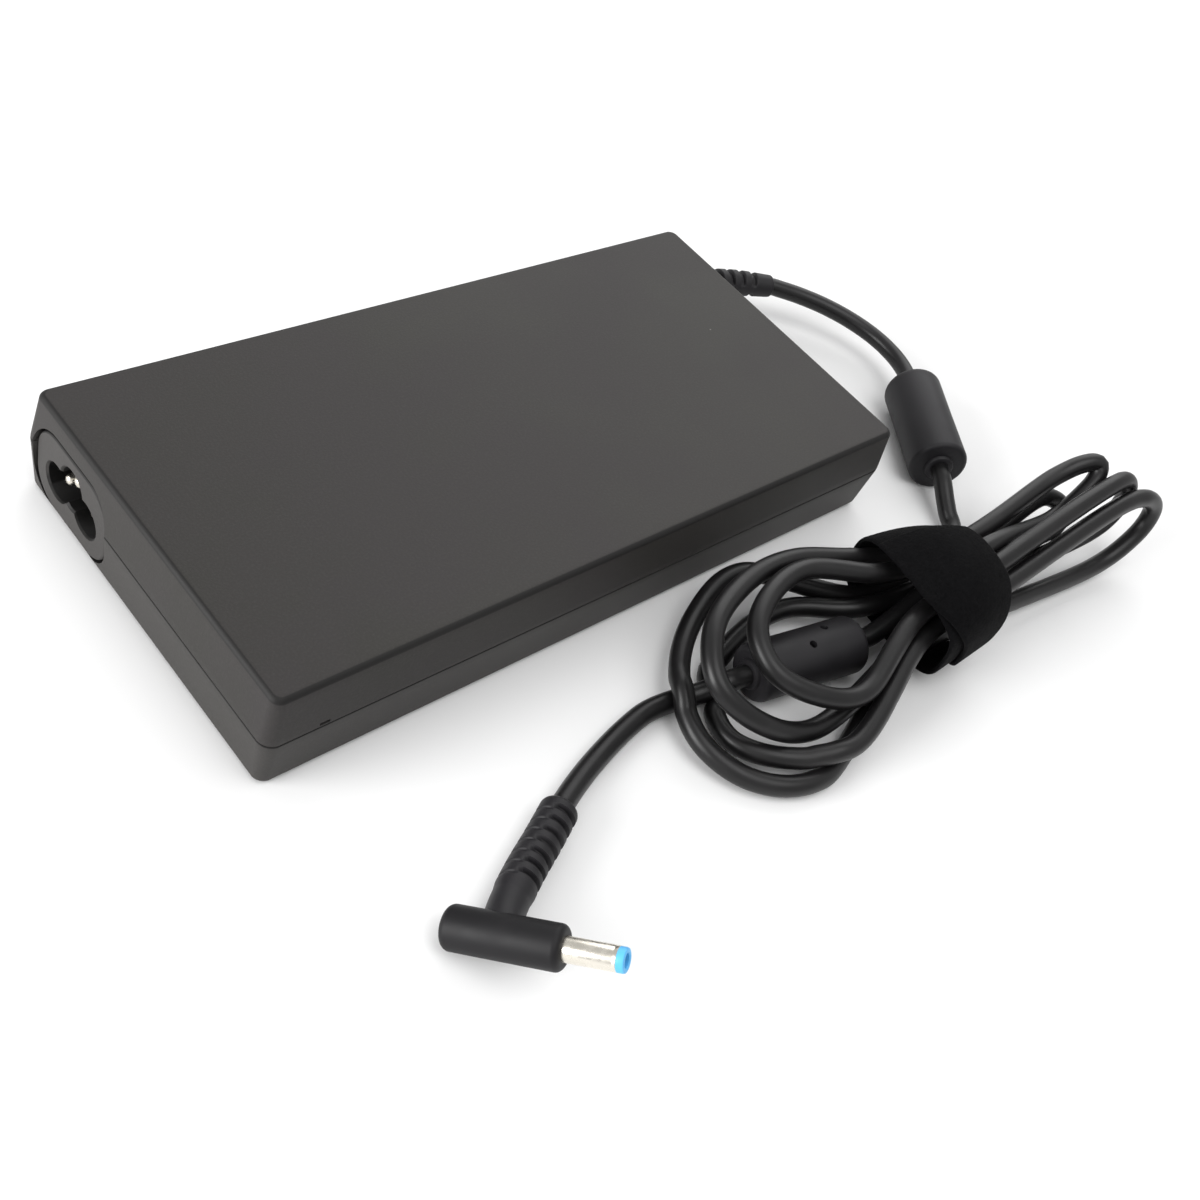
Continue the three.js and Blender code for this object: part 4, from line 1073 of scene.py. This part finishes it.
case_ferrite = ferrite("case_ferrite", CASE_FERRITE, (2.6, 1.2), 3.7, "case_ferrite_sleeve")
plug_ferrite = ferrite(
    "plug_ferrite",
    PLUG_FERRITE,
    (1.6, 1.6),
    3.4,
    "plug_ferrite_sleeve",
    ((15.4, math.radians(-9)), (9.5, math.radians(22))),
)

# ---- Plug ----
BOOT_RADIUS = 3.85
BOOT_LEAST = 2.4
BOOT_ROUNDING = 1.5
BOOT_NECK_FROM = 22.0
BOOT_NECK_OVER = 2.0
BOOT_NECK_DROP = 0.25
BOOT_PITCH = 2.85
BOOT_RIBS = 7
FAR_SLOT_DEPTH = 0.35

boot_path = even(smooth(BOOT, 0.4), 0.16)
boot_run = np.linspace(0, path_length(boot_path), len(boot_path))
boot_radii = []
for run in boot_run:
    radius = BOOT_RADIUS
    if run < BOOT_ROUNDING:
        drop = BOOT_ROUNDING**2 - (BOOT_ROUNDING - run) ** 2
        radius -= BOOT_ROUNDING - math.sqrt(max(0.0, drop))
    if run > BOOT_NECK_FROM:
        radius -= BOOT_NECK_DROP * min(1.0, (run - BOOT_NECK_FROM) / BOOT_NECK_OVER)
    boot_radii.append(max(radius, BOOT_LEAST))


def boot_carve(run, angles):
    """Deep slots on the boot's near side and shallow ones between them on its far side."""
    near = facing(angles, math.radians(142), math.radians(64), 0.22)
    far = facing(angles, math.radians(28), math.radians(40), 0.2)
    near_slots = pulse(run, 3.0, BOOT_PITCH, BOOT_RIBS, 1.15)
    far_slots = pulse(run, 3.9, BOOT_PITCH, BOOT_RIBS, 0.5)
    return near_slots * near + FAR_SLOT_DEPTH * far_slots * far


boot = add_mesh("plug_strain_relief", *skin(sweep(boot_path, boot_radii, 88, boot_carve)), sharp=50)
dress(boot, "moulded_rubber", ["plug_boot"])

body_profile = [(0.0, 0.6)] + arc(1.5, PLUG_RADIUS - 1.5, 1.5, 180, 90)
body_profile += arc(PLUG_LENGTH - 1.3, PLUG_RADIUS - 1.3, 1.3, 90, 0)
body_profile += [(PLUG_LENGTH, 2.5)]
plug_body = add_mesh(
    "plug_handle", *skin(turn_profile(PLUG_START, PLUG_WAY, body_profile, 96)), sharp=50
)
dress(plug_body, "moulded_rubber", ["plug_body"])
plug_body.data.materials[0] = MATERIALS["handle_rubber"]

face = PLUG_START + PLUG_LENGTH * PLUG_WAY
barrel_end = BARREL_REACH - TIP_LENGTH
barrel_profile = [
    (-2.0, 1.9),
    (-2.0, BARREL_RADIUS - 0.05),
    (0.0, BARREL_RADIUS),
    (barrel_end - 0.9, BARREL_RADIUS),
    (barrel_end - 0.75, BARREL_RADIUS - 0.05),
    (barrel_end - 0.55, BARREL_RADIUS - 0.05),
    (barrel_end - 0.4, BARREL_RADIUS),
    (barrel_end - 0.1, BARREL_RADIUS),
    (barrel_end, BARREL_RADIUS - 0.1),
    (barrel_end, 1.9),
]
barrel = add_mesh("barrel", *skin(turn_profile(face, PLUG_WAY, barrel_profile, 72), closed=True))
dress(barrel, "nickel", ["plug_barrel"])

tip_profile = [
    (2.0, 1.25),
    (2.0, 1.88),
    (barrel_end, 1.88),
    (barrel_end, BARREL_RADIUS - 0.05),
    (BARREL_REACH - 0.35, BARREL_RADIUS - 0.05),
    (BARREL_REACH - 0.1, BARREL_RADIUS - 0.15),
    (BARREL_REACH, BARREL_RADIUS - 0.35),
    (BARREL_REACH, 1.45),
    (BARREL_REACH - 0.2, 1.25),
]
tip = add_mesh("insulator_ring", *skin(turn_profile(face, PLUG_WAY, tip_profile, 72), closed=True))
dress(tip, "blue_plastic", ["plug_tip"])

PLUG_PIN_RADIUS = 0.35
pin_profile = [
    (-1.0, PLUG_PIN_RADIUS),
    (BARREL_REACH - 1.2, PLUG_PIN_RADIUS),
    (BARREL_REACH - 0.9, 0.28),
    (BARREL_REACH - 0.8, 0.12),
]
centre_pin = add_mesh("centre_pin", *skin(turn_profile(face, PLUG_WAY, pin_profile, 24)))
dress(centre_pin, "nickel", ["plug_pin"])

# ---- Cord piece ----
cord_curve = bpy.data.curves.new("output_cord", "CURVE")
cord_curve.dimensions = "3D"
cord_curve.bevel_depth = CORD_RADIUS * MM
cord_curve.bevel_resolution = 7
cord_curve.use_fill_caps = True
spline = cord_curve.splines.new("POLY")
spline.points.add(len(cord_path) - 1)
for point, place in zip(spline.points, cord_path):
    point.co = (*(place * MM), 1.0)
spline.use_smooth = True
output_cord = bpy.data.objects.new("output_cord", cord_curve)
bpy.context.scene.collection.objects.link(output_cord)
dress(output_cord, "cord_jacket", ["lead_cord", "cord_hank", "tail_cord"])

# ---- Strap ----
STRAP_SWELL = 2.3
STRAP_LOWEST = 0.25
STRAP_AROUND = 260
STRAP_ACROSS = 56
NAP_SCALE = 2.6
NAP_DEPTH = 0.05
# Each edge of the strap: its place along the hank, how far it leans, and the ring it follows.
STRAP_LEFT = {"u": -16.3, "lean": -2.4, "v": 2.0, "z": 11.6, "half": 16.2, "rise": 10.0, "power": 3.0}
STRAP_RIGHT = {"u": 2.8, "lean": 2.6, "v": 1.2, "z": 12.8, "half": 12.9, "rise": 11.2, "power": 2.35}


def strap_point(share, angle, grown):
    """A point of the strap: share across its width, angle round the hank, grown outwards."""

    def both(key):
        return STRAP_LEFT[key] * (1 - share) + STRAP_RIGHT[key] * share

    c, s = math.cos(angle), math.sin(angle)
    power = 2 / both("power")
    swell = STRAP_SWELL * math.sin(math.pi * min(1.0, max(0.0, share))) * max(0.0, s + 0.2) / 1.2
    half = both("half") + grown + 0.5 * swell
    rise = both("rise") + grown + swell
    v = both("v") + half * math.copysign(abs(c) ** power, c)
    z = both("z") + rise * math.copysign(abs(s) ** power, s)
    return hank(both("u") + both("lean") * s, v, max(z, STRAP_LOWEST))


def edge_slimness(j):
    """1 over most of the strap's width, falling in a round to nearly 0 at its two edges."""
    near_edge = min(j, STRAP_ACROSS - j) / STRAP_ACROSS
    return math.sqrt(max(0.0, min(1.0, near_edge / 0.035 + 0.02)))


def strap_layer(name, inner, outer, begin, end, edge_of, closed, body, node, seed):
    """One layer of the strap as a thin padded ribbon with rounded edges and a napped face."""
    rings = []
    across = STRAP_ACROSS
    for i in range(STRAP_AROUND + (0 if closed else 1)):
        part = i / STRAP_AROUND
        angle = begin + (end - begin) * part
        left, right = edge_of(part)
        ring = []
        for j in range(across + 1):
            share = left + (right - left) * j / across
            grown = inner + (outer - inner) * (0.5 + 0.5 * edge_slimness(j))
            place = strap_point(share, angle, grown)
            nap = noise.fractal(Vector(place) * NAP_SCALE + Vector((seed, 0, 0)), 0.9, 2.2, 4)
            ring.append(strap_point(share, angle, grown + NAP_DEPTH * nap))
        for j in range(across, -1, -1):
            share = left + (right - left) * j / across
            grown = inner + (outer - inner) * (0.5 - 0.5 * edge_slimness(j))
            ring.append(strap_point(share, angle, grown))
        rings.append(ring)
    piece = add_mesh(name, *skin(rings, closed=closed), sharp=180)
    dress(piece, "strap_fabric", [node], body)
    return piece


def band_edges(part):
    """Where the band's two edges lie across the strap, a little wavy."""
    wave = 0.006 * math.sin(part * 2 * math.pi * 5)
    return 0.02 + wave, 0.985 + 0.5 * wave


def flap_edges(part):
    """Where the flap's two edges lie; its left edge slants in towards its free end."""
    along = min(1.0, max(0.0, (part - 0.22) / 0.78))
    slant = 0.58 * along**1.5
    wave = 0.006 * math.sin(part * 19.0)
    return -0.045 + slant + wave, 1.02 - 0.02 * along + wave


strap_band = strap_layer(
    "strap_inner", 0.2, 1.1, 0.0, 2 * math.pi, band_edges, True, "adapter", "strap_band", 3.0
)
strap_tail = strap_layer(
    "strap_outer",
    1.3,
    2.3,
    math.radians(66),
    math.radians(214),
    flap_edges,
    False,
    "strap_tail",
    "strap_flap",
    11.0,
)

# ---- Floor and light ----
FLOOR_HALF = 2600
FLOOR_CORNER = 200
FLOOR_THICKNESS = 30.0
floor_rings = []
for z in (-FLOOR_THICKNESS, -0.02):
    floor_rings.append(rounded_ring(FLOOR_HALF, FLOOR_HALF, FLOOR_CORNER, z))
floor = add_mesh("floor", *skin(floor_rings))
paper = Nodes("paper")
paper_cloud = paper.ranged(paper.noise(4.0, 2.0), 0.3, 0.7, 0.0, 1.0)
paper_tone = paper.mix(paper_cloud, (0.86, 0.86, 0.86), (0.88, 0.88, 0.88))
paper.set(Base_Color=paper_tone, Roughness=0.9, Specular_IOR_Level=0.1)
floor.data.materials.append(paper.material)

world = bpy.data.worlds.new("studio")
world.use_nodes = True
sky = world.node_tree.nodes["Background"]
sky.inputs["Color"].default_value = (1.0, 1.0, 1.0, 1.0)
sky.inputs["Strength"].default_value = 0.62
bpy.context.scene.world = world


def soft_light(name, place, target, size, watts):
    """A round white area light at a place in metres, turned to its target."""
    data = bpy.data.lights.new(name, "AREA")
    data.shape = "DISK"
    data.size = size
    data.energy = watts
    lamp = bpy.data.objects.new(name, data)
    lamp.location = place
    way = Vector(target) - Vector(place)
    lamp.rotation_euler = way.to_track_quat("-Z", "Y").to_euler()
    bpy.context.scene.collection.objects.link(lamp)


soft_light("far_box", (1.05, 0.75, 0.95), (0.02, -0.03, 0.0), 1.5, 9.0)
soft_light("left_box", (-1.25, 0.30, 0.42), (0.0, 0.0, 0.0), 0.9, 20.0)
soft_light("top_box", (0.0, -0.5, 1.4), (0.0, -0.04, 0.0), 1.1, 8.0)
bpy.context.scene.view_settings.view_transform = "Standard"
